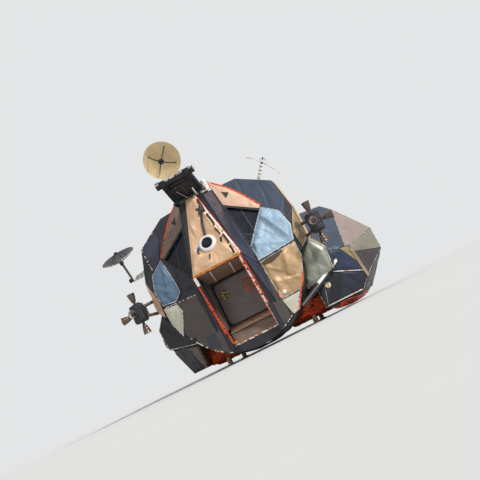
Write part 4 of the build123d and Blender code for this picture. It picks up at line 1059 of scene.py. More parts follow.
class ASCENT_OT_nose_edges(Operator):
    """Lines the nose's edges with beads and foil, and dresses the ceiling, cheeks and sill of the hatch recess"""

    bl_idname = "ascent.nose_edges"
    bl_label = "Nose Edges"

    def execute(self, context):
        beads = taped(
            "bead_tape", (0.8, 0.79, 0.74), ((0.03, 0.03, 0.035), (0.03, 0.03, 0.035), (0.75, 0.14, 0.03)), 0.5, 34,
        )
        ember = bpy.data.materials["ember_foil"]
        lip_z, lip_y, toe_z, toe_y = 1.494, -2.17, 0.252, -1.676
        top_z, top_y = 2.818, -1.727
        down = Vector((0, -0.928, -0.371))
        for side, word in SIDES:
            tip, toe = Vector((side * 0.402, lip_y - 0.006, lip_z)), Vector((side * 0.4, toe_y - 0.008, toe_z + 0.02))
            outer_toe = Vector((side * 0.428, toe_y - 0.008, toe_z + 0.05))
            outer_tip = Vector((side * 0.428, lip_y - 0.01, lip_z))
            if side > 0:
                stuck("port_pillar_beads", [(tip, toe)], down, "nose_skin", beads, 0.03, 0.014, crinkle=0.01)
                stuck(
                    "port_pillar_foil", [(outer_tip, outer_toe)], down, "red_foil", ember, 0.022, 0.012, crinkle=0.016,
                )
                inner = Vector((side * -0.018, 0, 0))
                stuck(
                    "port_pillar_inner_foil", [(tip + inner, toe + inner)], down, "red_foil", ember, 0.016, 0.012,
                    crinkle=0.016,
                )
            else:
                for index, (first, last, width, depth) in enumerate(
                    ((0.0, 0.42, 0.03, 0.022), (0.36, 0.74, 0.044, 0.036), (0.68, 1.0, 0.064, 0.05))
                ):
                    crumpled_run(
                        f"starboard_pillar_foil_{index + 1}", outer_tip.lerp(outer_toe, first),
                        outer_tip.lerp(outer_toe, last), down, width, ember, "red_foil", depth,
                    )
                # The last colour is the painted shadow in the foil's creases.
                orange = foil("toe_orange", (0.85, 0.24, 0.03), (0.35, 0.05, 0.01), 22)
                foot = Vector((0.09, 0, 0))
                crumpled_run("starboard_toe_foil", outer_toe, outer_toe + foot, down, 0.05, orange, "red_foil", 0.03)
                white = metal("wrap_white", (0.86, 0.83, 0.78), 0.4, 0.1, 20, 0.12)
                head = [(tip + Vector((-0.012, -0.014, 0)), tip.lerp(toe, 0.11) + Vector((-0.012, -0.014, 0)))]
                stuck("starboard_pillar_head", head, down, "nose_skin", white, 0.044, 0.02, crinkle=0.014)
        brow, nose_edge = Vector((0.086, top_y - 0.006, top_z)), Vector((0.432, -2.186, 1.53))
        outward = Vector((0.55, -0.76, 0.34))
        cream = taped("edge_cream", (0.84, 0.82, 0.75), ((0.55, 0.5, 0.42), (0.3, 0.27, 0.24)), 0.72, 22)
        stuck("port_nose_edge", [(brow, nose_edge)], outward, "nose_skin", cream, 0.03, 0.012, crinkle=0.01)
        red = Vector((0.02, 0.006, 0.0))
        stuck(
            "port_nose_edge_foil", [(brow + red, nose_edge + red)], outward, "red_foil", ember, 0.01, 0.01,
            crinkle=0.008,
        )
        # Dark ribbons down the nose's front: the painted shadow of a mast.
        marks = (
            ((0.12, 2.7), (0.15, 2.56), (0.17, 2.44)), ((0.176, 2.38), (0.205, 2.25), (0.222, 2.13)),
            ((0.214, 2.09), (0.24, 2.01), (0.262, 1.95)), ((0.25, 1.9), (0.228, 1.83), (0.222, 1.77)),
            ((0.29, 1.93), (0.32, 1.83), (0.338, 1.74)), ((0.336, 1.7), (0.348, 1.62), (0.352, 1.55)),
        )
        black = film("mark_black_film", (0.02, 0.016, 0.015), 0.1, 0.5)
        for index, mark in enumerate(marks):
            spots = [on_nose(x, z, 0.045) for x, z in mark]
            ribbon(
                f"port_nose_mark_{index + 1}", spots, NOSE_FRONT, 0.026 + 0.008 * (index % 2), black, "nose_skin",
                0.014,
            )
        # The last colour is the painted shadow in the foil's creases.
        lip = foil("lip_foil", (0.7, 0.22, 0.03), (0.16, 0.03, 0.01), 30)
        stuck(
            "nose_lip_edge", [((-0.43, -2.188, 1.512), (0.43, -2.188, 1.512))], FORWARD, "red_foil", lip, 0.034, 0.012,
            crinkle=0.008,
        )
        # The ceiling and its two struts
        slope = Vector((0, -0.169, -0.986))

        def under(x, y, drop=0.0):
            return Vector((x, y, 1.368 - (y + 1.461) * 0.1715)) + slope * drop

        ceiling = [under(-0.37, -2.155), under(0.37, -2.155), under(0.43, -1.48), under(-0.43, -1.48)]
        patch("recess_ceiling", ceiling, slope, skin("umber"), "nose_skin", lift=0.003, crease=0.004, billow=0.004)
        rust = banded("rust_line", ((0.42, 0.13, 0.03), (0.3, 0.09, 0.03)), 0.05, (0, 1, 0))
        rows = []
        for front, back in (((-0.152, -2.14), (-0.267, -1.48)), ((0.2, -2.14), (0.09, -1.48))):
            for offset in (-0.02, 0.02):
                rows.append(tuple(under(x + offset, y, 0.01) for x, y in (front, back)))
        for y in (-1.62, -1.9):
            rows.append(tuple(under(x, y, 0.01) for x in (-0.38, 0.38)))
        stuck("recess_ceiling_lines", rows, slope, "nose_skin", rust, 0.01, 0.008, crinkle=0.001)
        white = metal("strut_white", (0.78, 0.7, 0.6), 0.4, 0.2)
        struts = []
        for front, back in (((-0.152, -2.14), (-0.255, -1.53)), ((0.2, -2.14), (0.1, -1.53))):
            struts.append(strip(under(*front, 0.014), under(*back, 0.014), slope, 0.02, 0.014, 6))
        painted(join(struts, "recess_ceiling_struts"), white, "nose_skin")
        fitting = turned(
            "recess_ceiling_fitting",
            ((0, 0), (0.038, 0), (0.04, 0.01), (0.03, 0.016), (0.016, 0.016), (0.014, 0.008), (0, 0.008)),
            under(0.05, -1.87, 0.006), slope, 32,
        )
        painted(fitting, metal("dull_brass", (0.3, 0.22, 0.12), 0.45), "nose_skin")
        # Cheeks of the recess
        for side, word in SIDES:
            cheek = [
                (side * 0.437, -1.5, 0.56), (side * 0.437, -1.5, 1.36), (side * 0.371, -2.13, 1.46),
                (side * 0.413, -1.74, 0.52),
            ]
            patch(
                f"{word}_recess_cheek", cheek, mirrored((-1, -0.103, 0), side), skin("bark"), "nose_skin", lift=0.002,
                crease=0.006, billow=0.004, hem=0.04,
            )
        # The tan sill strip, its fitting and the grey strip below it
        sill = [(-0.42, -1.468, 0.532), (0.42, -1.468, 0.532), (0.41, -1.566, 0.462), (-0.41, -1.566, 0.462)]
        patch(
            "recess_sill_sheet", sill, (0, -0.58, 0.81), skin("tan"), "nose_skin", lift=0.005, crease=0.008,
            billow=0.01, hem=0.03,
        )
        apron = [(-0.4, -1.582, 0.446), (0.4, -1.582, 0.446), (0.39, -1.668, 0.27), (-0.39, -1.668, 0.27)]
        patch(
            "recess_apron_sheet", apron, (0, -0.9, 0.44), skin("umber"), "nose_skin", lift=0.005, crease=0.006,
            billow=0.008, hem=0.03,
        )
        stuck(
            "recess_toe_beads", [((-0.4, -1.68, 0.258), (0.4, -1.68, 0.258))], (0, -1, -0.2), "nose_skin", beads, 0.022,
            0.01, crinkle=0.008,
        )
        stuck(
            "recess_sill_line", [((-0.42, -1.466, 0.548), (0.42, -1.466, 0.548))], (0, -1, 0.2), "red_foil", rust,
            0.016, 0.008, crinkle=0.003,
        )
        return {"FINISHED"}


class ASCENT_OT_hatch_fittings(Operator):
    """Adds the forward hatch's skin, seal line, valve, patch and handholds, and a fitting on the recess sill"""

    bl_idname = "ascent.hatch_fittings"
    bl_label = "Hatch Fittings"

    def execute(self, context):
        face_y, middle_z = -1.449, 0.958
        patch(
            "hatch_skin", [(x, face_y, z) for x, z in rounded_square(0.382, 0.1, middle_z)],
            FORWARD, skin("bark"), "hatch_skin", "forward_hatch", 0.006, 0.02, 0.002, 0.004, 0.05,
        )
        seal = [Vector((x, face_y - 0.012, z)) for x, z in rounded_square(0.378, 0.095, middle_z)]
        rubber = metal("black_seal", (0.012, 0.012, 0.014), 0.6, 0.0)
        ring = tube("hatch_seal_line", seal + [seal[0]], 0.009, 8)
        painted(ring, rubber, "hatch_skin", "forward_hatch")
        valve = turned(
            "hatch_valve",
            (
                (0, 0.034), (0.018, 0.034), (0.022, 0.026), (0.048, 0.024), (0.052, 0.03), (0.066, 0.03), (0.072, 0.02),
                (0.072, 0.0),
            ),
            (-0.235, face_y - 0.004, middle_z + 0.15), FORWARD, 40,
        )
        glint = taped(
            "valve_glints", (0.014, 0.013, 0.012), ((0.7, 0.4, 0.08), (0.3, 0.16, 0.04), (0.85, 0.6, 0.2)), 0.66, 50,
        )
        painted(valve, glint, "hatch_skin", "forward_hatch")
        disc = turned(
            "hatch_round_patch", ((0, 0.016), (0.085, 0.014), (0.112, 0.009), (0.124, 0.002), (0.124, -0.002)),
            (0.215, face_y - 0.008, middle_z + 0.12), FORWARD, 48,
        )
        painted(
            disc, film("rust_patch_film", (0.27, 0.095, 0.055), 0.1, 0.5, 20.0, 0.002, 0.6), "hatch_skin",
            "forward_hatch",
        )
        marks = [
            ((-0.05, face_y - 0.011, 1.05), (0.1, face_y - 0.011, 1.07)),
            ((-0.02, face_y - 0.011, 0.98), (0.05, face_y - 0.011, 0.99)),
            ((0.02, face_y - 0.011, 0.84), (0.03, face_y - 0.011, 0.77)),
        ]
        stuck(
            "hatch_handholds", marks, FORWARD, "hatch_skin", metal("handhold_grey", (0.1, 0.1, 0.13), 0.5, 0.4), 0.018,
            0.012, "forward_hatch", 0.001,
        )
        fitting = turned(
            "sill_fitting", ((0, 0.014), (0.018, 0.014), (0.022, 0.008), (0.036, 0.008), (0.04, 0.0), (0.04, -0.01)),
            (0.02, -1.52, 0.502), (0, -0.58, 0.81), 32,
        )
        painted(fitting, bpy.data.materials["dull_brass"], "nose_skin")
        return {"FINISHED"}


def rounded_square(half, corner, middle, steps=5):
    """Corners of an upright square with rounded corners, as (X, Z)."""
    spots = []
    for quarter in range(4):
        turn = math.pi / 2 * quarter
        for step in range(steps + 1):
            angle = turn + math.pi / 2 * step / steps
            sx = 1 if quarter in (0, 3) else -1
            sz = 1 if quarter in (0, 1) else -1
            x, z = sx * (half - corner) + corner * math.cos(angle), sz * (half - corner) + corner * math.sin(angle)
            spots.append((x, middle + z))
    return spots


class ASCENT_OT_windows(Operator):
    """Frames the windows, gives them glass and covers the shades over them"""

    bl_idname = "ascent.windows"
    bl_label = "Windows"

    def execute(self, context):
        # A new material: the loaded model has one of this name already
        pane = glass("window_glass", (0.02, 0.022, 0.032))
        for node in ("port_window_pane", "starboard_window_pane", "docking_window_pane"):
            wear(node, pane)
        seal = metal("black_seal", (0.012, 0.012, 0.014), 0.6, 0.0)
        ember = bpy.data.materials["ember_foil"]
        corners = ((0.415, 2.462), (0.942, 2.114), (0.572, 1.622))
        brow = ((0.3, 3.04), (0.56, 2.8), (0.823, 2.452), (0.985, 2.18))
        for side, word in SIDES:
            spots = [on_facet(WINDOW_SPOT, WINDOW, x, z, side, 0.01) for x, z in corners]
            rows = pairs(spots, True)
            stuck(f"{word}_window_frame", rows, mirrored(WINDOW, side), "cabin_skin", seal, 0.03, 0.018, crinkle=0.001)
            # The starboard window's shade takes the dark umber as painted shade; the port one keeps its tan film.
            key = "shade" if side > 0 else "umber"
            panels(
                f"{word}_window_brow", f"{word}_window_shade", chooser([(mirrored(WINDOW, side), key)]), "shade_skin",
                lift=0.008, crease=0.006, billow=0.005,
            )
            edge = [on_facet(WINDOW_SPOT, WINDOW, x, z, side, 0.02) for x, z in brow]
            stuck(
                f"{word}_brow_edge", pairs(edge), mirrored(WINDOW, side), "red_foil", ember, 0.022, 0.014,
                crinkle=0.012,
            )
            marks = [
                on_facet(WINDOW_SPOT, WINDOW, x, z, side, 0.036)
                for x, z in ((0.46, 2.73), (0.572, 2.66), (0.505, 2.585))
            ]
            patch(
                f"{word}_brow_mark", marks, mirrored(WINDOW, side), seal, "shade_skin", lift=0.002, cell=0.01,
                crease=0.0, billow=0.0,
            )
            sill = [on_facet(WINDOW_SPOT, WINDOW, x, z, side, -0.018) for x, z in corners]
            muntins = [
                (sill[2].lerp(sill[0], 0.3), sill[2].lerp(sill[1], 0.3)),
                (sill[0].lerp(sill[1], 0.45), sill[2].lerp(sill[1], 0.4)),
            ]
            stuck(
                f"{word}_window_bars", muntins, mirrored(WINDOW, side), "cabin_skin",
                metal("window_bar", (0.1, 0.09, 0.1), 0.5, 0.3), 0.012, 0.008, crinkle=0.0,
            )
        frame_x, frame_y = (0.397, 0.543), (-1.118, -0.802)
        ring = [
            Vector((x, y, 2.886))
            for x, y in (
                (frame_x[0], frame_y[0]), (frame_x[1], frame_y[0]), (frame_x[1], frame_y[1]), (frame_x[0], frame_y[1]),
            )
        ]
        stuck("docking_window_frame", pairs(ring, True), UP, "cabin_skin", seal, 0.022, 0.02, crinkle=0.001)
        return {"FINISHED"}


class ASCENT_OT_tracking_light(Operator):
    """Adds the tracking light's ring and lamp, dark tubes on the nose as painted shadows, and the small fittings on the
    nose
    """

    bl_idname = "ascent.tracking_light"
    bl_label = "Tracking Light"

    def execute(self, context):
        wear("tracking_light_bezel", metal("bezel_white", (0.86, 0.86, 0.83), 0.35, 0.0, 18, 0.06))
        up = Vector(NOSE_FRONT).normalized()
        middle = Vector((0, -2.045, 1.924))
        lamp = turned(
            "tracking_lamp",
            ((0.097, 0.015), (0.09, 0.03), (0.07, 0.026), (0.064, 0.02), (0.058, 0.03), (0.034, 0.04), (0, 0.044)),
            middle, up, 56,
        )
        painted(lamp, glass("lamp_glass", (0.014, 0.016, 0.022)), "lens_glass")
        # Dark tubes laid on the nose are painted shadows: above the tracking light, below its ring and below the small
        # lamp.
        dark = metal("charcoal_fitting", (0.03, 0.03, 0.036), 0.5, 0.3)
        steep = Vector((0, 0.333, 0.943))
        shadow_tubes = [
            tube(
                "mast_line", (on_nose(0.02, 2.06, 0.03), on_nose(0.046, 2.26, 0.036), on_nose(0.098, 2.44, 0.04)),
                0.019, 12,
            ),
            tube(
                "mast_head", (on_nose(0.06, 2.42, 0.04), on_nose(0.105, 2.5, 0.046), on_nose(0.13, 2.57, 0.04)), 0.026,
                12,
            ), tube("mast_cross", (on_nose(0.04, 2.545, 0.036), on_nose(0.15, 2.45, 0.036)), 0.018, 12),
            tube("mast_foot", (on_nose(-0.03, 1.73, 0.03), on_nose(-0.07, 1.6, 0.026)), 0.01, 10),
            tube("lamp_foot", (on_nose(-0.19, 1.88, 0.03), on_nose(-0.2, 1.77, 0.026)), 0.016, 10),
        ]
        for post in shadow_tubes:
            crinkled(post, 0.012)
        painted(join(shadow_tubes, "nose_mast"), dark, "bezel_white")
        spot = middle - Vector((0.17, 0, 0)) - steep * 0.02
        lens = turned(
            "nose_small_lamp", ((0.026, 0.0), (0.028, 0.02), (0.022, 0.026), (0.018, 0.022), (0, 0.03)), spot, up, 32,
        )
        painted(lens, glass("blue_glint", (0.06, 0.14, 0.32)), "lens_glass")
        return {"FINISHED"}


# How the port tank housing's facets are filmed, by the way each one faces, and its front facet
PORT_HOUSING = (
    ((0.54, -0.6, 0.59), "slate"),
    ((0.68, -0.53, 0.5), "pink"),
    ((0.64, -0.77, -0.03), "olive"),
    ((0.85, -0.53, 0.01), "stone"),
    ((0.48, -0.86, -0.15), "navy"),
    ((0.76, -0.16, -0.63), "cocoa"),
    ((0.0, -1.0, 0.0), "soot"),
)
TANK_SPOT, TANK_FRONT = (1.486, -1.118, 1.067), (0.48, -0.86, -0.15)
STONE_EDGE = ((2.012, -0.716, 0.817), (0.06, 0.115, 0.99))
NAVY_EDGE = ((1.648, -0.949, 0.61), (0.37, 0.04, 0.93))


class ASCENT_OT_housing_film(Operator):
    """Covers the tank housings and the jet tank modules with film, taped along their folds"""

    bl_idname = "ascent.housing_film"
    bl_label = "Housing Film"

    def execute(self, context):
        dots = taped(
            "dotted_tape", (0.62, 0.6, 0.55), ((0.7, 0.28, 0.03), (0.3, 0.28, 0.26), (0.85, 0.84, 0.8)), 0.55, 16,
        )
        ink = film("ink_film", (0.016, 0.019, 0.034), 0.22, 0.4, 18.0, 0.006, 0.5)

        # Below an edge, two of the facets have another film
        lower_parts = {"stone": (STONE_EDGE, skin("cocoa")), "navy": (NAVY_EDGE, ink)}

        def port(spot, normal):
            if normal.z < -0.9:
                return None
            if normal.y > 0.12:
                return skin("stone") if normal.z > 0.3 else skin("taupe")
            for slope, key in PORT_HOUSING:
                if normal.dot(Vector(slope).normalized()) > 0.985:
                    edge, lower = lower_parts.get(key, (None, None))
                    if edge and (spot - Vector(edge[0])).dot(Vector(edge[1])) < 0:
                        return lower
                    return skin(key)
            return skin("slate")

        def starboard(spot, normal):
            if normal.z < -0.6:
                return None
            if normal.z > 0.35:
                return skin("taupe")
            return skin("umber") if normal.z > -0.1 else skin("soot")

        edge = taped("edge_tape", (0.33, 0.31, 0.27), ((0.62, 0.6, 0.54), (0.06, 0.06, 0.06)), 0.5, 30)
        port_seams = [(*STONE_EDGE, (0.85, -0.53, 0.01)), (*NAVY_EDGE, TANK_FRONT)]
        for word, choose, slot, seams in (
            ("port", port, "port_housing_skin", port_seams), ("starboard", starboard, "starboard_housing_skin", []),
        ):
            node = f"{word}_tank_housing"
            panels(f"{word}_housing_film", node, choose, slot, seams=seams, crease=0.01, billow=0.01)

            def plain(spot, normal, choose=choose):
                return None if normal.dot(Vector((0.64, -0.77, -0.03))) > 0.985 else choose(spot, normal)

            tapes(f"{word}_housing_tape", node, plain, edge, slot, width=0.01, lift=0.014)
            # On the modules the upward facets are olive and the other sides near black: painted light from above and
            # painted shade; the starboard module's front is near black as painted shade too.
            key = "sage" if word == "port" else "soot"

            def module(spot, normal, key=key):
                if abs(normal.y) > 0.9 and normal.y < 0:
                    return skin(key)
                return skin("olive") if normal.z > 0.3 else skin("soot")

            panels(
                f"{word}_module_film", f"{word}_jet_tank_module", module, "module_skin", crease=0.022, billow=0.03,
                along=(0.5, 0, -0.86),
            )
            tapes(
                f"{word}_module_tape", f"{word}_jet_tank_module", module, dots, "module_skin", width=0.012, lift=0.014,
            )

        def on_tank(x, z, lift=0.026):
            return on_facet(TANK_SPOT, TANK_FRONT, x, z, 1, lift)

        # The front facet's taped seam, lower edge, dark band and round fitting, and the tan strip beside it
        stuck(
            "port_tank_seam", [(on_tank(1.5, 0.673), on_tank(2.0, 0.46))], TANK_FRONT, "port_housing_skin", dots, 0.014,
        )
        stuck(
            "port_tank_lower_edge", [(on_tank(1.215, 0.172), on_tank(1.828, 0.172))], TANK_FRONT, "port_housing_skin",
            dots, 0.018,
        )
        band = [on_tank(x, z) for x, z in ((1.5, 0.64), (1.64, 0.59), (1.44, 0.19), (1.255, 0.19))]
        black = film("band_black_film", (0.007, 0.006, 0.009), 0.1, 0.5)
        patch("port_tank_band", band, TANK_FRONT, black, "port_housing_skin", lift=0.008, crease=0.004, billow=0.004)
        profile = ((0, 0.022), (0.022, 0.022), (0.03, 0.014), (0.044, 0.014), (0.052, 0.004), (0.052, -0.01))
        fitting = turned("port_tank_fitting", profile, on_tank(1.352, 0.487), Vector(TANK_FRONT).normalized(), 36)
        gilt = taped("gilt_glints", (0.8, 0.62, 0.3), ((0.92, 0.9, 0.84), (0.35, 0.2, 0.05)), 0.45, 34)
        painted(fitting, gilt, "port_housing_skin")
        crumpled_run(
            "port_tank_tan_strip", (1.972, -0.784, 0.88), (2.04, -0.702, 0.33), (0.72, -0.69, -0.05), 0.07,
            skin("olive"), "port_housing_skin", 0.012, 0.016,
        )
        return {"FINISHED"}


class ASCENT_OT_housing_beam(Operator):
    """Dresses the beam under the port housing: dark, with a bright top, side and end cap, and a pink line along it"""

    bl_idname = "ascent.housing_beam"
    bl_label = "Housing Beam"

    def execute(self, context):
        start, end = Vector((0.85, -1.575, 0.35)), Vector((1.68, -1.06, 0.78))
        run = (end - start).normalized()
        up = (Vector(UP) - run * run.z).normalized()
        wear("port_housing_brace", metal("beam_black", (0.014, 0.014, 0.017), 0.4, 0.2))
        bright = metal("beam_white", (0.84, 0.84, 0.82), 0.35, 0.1, 20, 0.08)
        ahead = up.cross(run)
        if ahead.y > 0:
            ahead = -ahead
        face = ahead * 0.037
        top = strip(start.lerp(end, 0.47) + up * 0.043, start.lerp(end, 0.99) + up * 0.043, up, 0.07, 0.01, 8)
        side = strip(
            start.lerp(end, 0.47) + up * 0.021 + face, start.lerp(end, 0.99) + up * 0.021 + face, ahead, 0.042, 0.008,
            8,
        )
        cap = strip(end + up * 0.034, end + up * 0.034 + run * 0.012, up, 0.068, 0.026)
        painted(join([top, side, cap], "beam_top"), bright, "strut_metal")
        pink = metal("beam_pink", (0.46, 0.35, 0.29), 0.4, 0.2)
        line = strip(
            start.lerp(end, 0.02) + up * 0.006 + face, start.lerp(end, 0.72) + up * 0.006 + face, ahead, 0.009, 0.006,
            10,
        )
        painted(join([line], "beam_line"), pink, "strut_metal")
        return {"FINISHED"}


class ASCENT_OT_foil_truss(Operator):
    """Builds the foil wrapped bracket and the small truss beside the radar's pedestal"""

    bl_idname = "ascent.foil_truss"
    bl_label = "Foil Truss"

    def execute(self, context):
        white = taped(
            "wrap_speckle", (0.88, 0.86, 0.82), ((0.8, 0.24, 0.06), (0.6, 0.58, 0.55), (0.88, 0.86, 0.82)), 0.74, 16,
        )
        foot, head = Vector((0.322, -1.664, 2.8)), Vector((0.322, -1.7, 2.99))
        profile = [(0.03, 0.0)] + [
            (0.036 + 0.01 * (step % 2), 0.018 * step + 0.008) for step in range(11)
        ] + [(0.022, 0.204), (0.0, 0.206)]
        wrap = turned("truss_wrap", profile, foot, head - foot, 36)
        crinkled(wrap, 0.022)
        painted(wrap, white, "strut_metal")
        rose = taped("rose_wrap", (0.72, 0.4, 0.28), ((0.86, 0.84, 0.8), (0.75, 0.16, 0.04)), 0.6, 26)
        knot = head + Vector((0.012, 0.01, -0.012))
        bars = []
        for spots in (
            (knot, Vector((0.4, -1.64, 2.9)), Vector((0.44, -1.66, 2.8))),
            (knot + Vector((0, 0.02, -0.06)), Vector((0.37, -1.648, 2.85)), Vector((0.4, -1.664, 2.796))),
        ):
            bar = tube("bar", spots, 0.011, 12)
            crinkled(bar, 0.01)
            bars.append(bar)
        painted(join(bars, "truss_bars"), rose, "strut_metal")
        return {"FINISHED"}


class ASCENT_OT_jets(Operator):
    """Builds the sixteen attitude jets as turned bells and wraps their clusters in crinkled film"""

    bl_idname = "ascent.jets"
    bl_label = "Attitude Jets"

    def execute(self, context):
        x0, y0, z0 = QUAD
        outer = metal("jet_shell", (0.17, 0.125, 0.1), 0.3, 0.85, 60, 0.45)
        # The inside of each bell: grey with dark flecks and painted orange and white glints.
        inner = taped(
            "jet_throat", (0.42, 0.4, 0.38), ((0.72, 0.34, 0.08), (0.16, 0.12, 0.1), (0.9, 0.9, 0.88)), 0.45, 34,
        )
        profile = [(0.0, 0.0), (0.038, 0.0), (0.038, 0.01), (0.026, 0.014), (0.024, 0.045)]
        for step in range(1, 9):
            radius = flare(*JET_BELL, step / 8)
            height = 0.045 + 0.17 * (step / 8)
            if step in (3, 5, 8):
                profile += [(radius, height - 0.006), (radius + 0.002, height - 0.004), (radius + 0.002, height)]
            else:
                profile.append((radius, height))
        profile += [(flare(*JET_BELL, step / 6) - 0.005, 0.045 + 0.17 * step / 6) for step in range(6, -1, -1)]
        profile.append((0.0, 0.047))
        bells = []
        for side in (1, -1):
            for end in (-1, 1):
                x, y = side * x0, end * y0
                for origin, direction in (
                    ((x, y, z0 + QUAD_HALF_HEIGHT), (0, 0, 1)),
                    ((x, y, z0 - QUAD_HALF_HEIGHT), (0, 0, -1)),
                    ((x + side * QUAD_HALF_WIDTH, y, z0), (side, 0, 0)),
                    ((x, y + end * QUAD_HALF_WIDTH, z0), (0, end, 0)),
                ):
                    bell = turned("jet", profile, origin, direction, 28)
                    axis, foot = Vector(direction), Vector(origin)

                    def inside(face, foot=foot, axis=axis):
                        along, out = off_axis(face, foot, axis)
                        return along > 0.05 and face.normal.dot(out) < 0

                    second_where(coloured(bell, outer, inner), inside)
                    bells.append(bell)
        finish_piece(join(bells, "attitude_jet_bells"), HULL, "jet_metal", 40, "attitude_jets")

        panels(
            "cluster_wraps", "attitude_jet_clusters", lambda spot, normal: skin("soot"), "cluster_skin", cell=0.014,
            crease=0.012, billow=0.01, hem=0.02, gap=0.002, lift=0.004,
        )
        orange = bpy.data.materials["dotted_tape"]
        rows = []
        for side in (1, -1):
            for end in (-1, 1):
                rows.append([Vector((side * (x0 + 0.112), end * (y0 - 0.02), z0 + rise)) for rise in (0.06, 0.13)])
        stuck("cluster_marks", rows, (1, 0, 0), "cluster_skin", orange, 0.016, 0.006)
        wear("attitude_jet_clusters", skin("soot"))
        wear("jet_outriggers", film("strut_wrap", (0.1, 0.085, 0.075), 0.3, 0.45, 30.0, 0.004, 0.4))
        return {"FINISHED"}


def bowl_profile(radius, depth, thickness, rim, steps=20):
    """The profile of a shallow bowl with a rolled rim, from its middle out and back behind it."""
    front = [(radius * step / steps, depth * (step / steps) ** 2) for step in range(steps + 1)]
    edge = [
        (radius + rim * math.cos(turn), depth - thickness / 2 + rim * math.sin(turn))
        for turn in (math.pi / 2, math.pi / 4, 0, -math.pi / 4, -math.pi / 2)
    ]
    back = [(radius * step / steps, depth * (step / steps) ** 2 - thickness) for step in range(steps, -1, -1)]
    return front[:-1] + edge + back[1:]


def round_way(axis, degrees):
    """A direction square to an axis that is itself square to X, at an angle from X."""
    angle = math.radians(degrees)
    across = Vector(axis).normalized().cross(Vector((1, 0, 0)))
    return Vector((1, 0, 0)) * math.cos(angle) + across * math.sin(angle)


def second_where(piece, test):
    """Gives a piece's second material to the faces that pass a test."""
    for face in piece.data.polygons:
        if test(face):
            face.material_index = 1


def off_axis(face, start, axis):
    """How far a face lies along an axis, and the way out to it from the axis."""
    away = face.center - start
    return away.dot(axis), away - axis * away.dot(axis)


def flare(throat, spread, share):
    """A bell's radius at a share of its length."""
    return throat + spread * share**0.62


def dish_parts(prefix, pivot, sight, size, struts, hub, stand_off):
    """A dish's bowl, struts and hub, as loose parts with their places worked out along its sight line."""
    radius, depth, thickness, rim = size
    sight = Vector(sight).normalized()
    vertex = Vector(pivot) + sight * stand_off
    bowl = turned(f"{prefix}_bowl", bowl_profile(radius, depth, thickness, rim), vertex, sight, 72)
    root, focus, bar, turn = struts
    hub_radius, hub_length = hub
    bars = []
    for quarter in range(4):
        out = round_way(sight, turn + 90 * quarter)
        start = vertex + out * root + sight * (depth * (root / radius) ** 2 - 0.002)
        bend = vertex + out * (root * 0.62) + sight * (focus * 0.62)
        end = vertex + out * hub_radius * 0.8 + sight * (focus - hub_length * 0.5)
        bars.append(tube(f"{prefix}_strut", (start, bend, end), bar, 8))
    feed = turned(
        f"{prefix}_hub",
        ((0, -hub_length), (hub_radius * 0.7, -hub_length), (hub_radius, -hub_length * 0.8), (hub_radius, -0.01),
         (hub_radius * 0.85, 0), (hub_radius * 0.5, 0), (hub_radius * 0.45, -0.006), (0, -0.006)),
        vertex + sight * focus, sight, 32,
    )
    return bowl, bars, feed, vertex


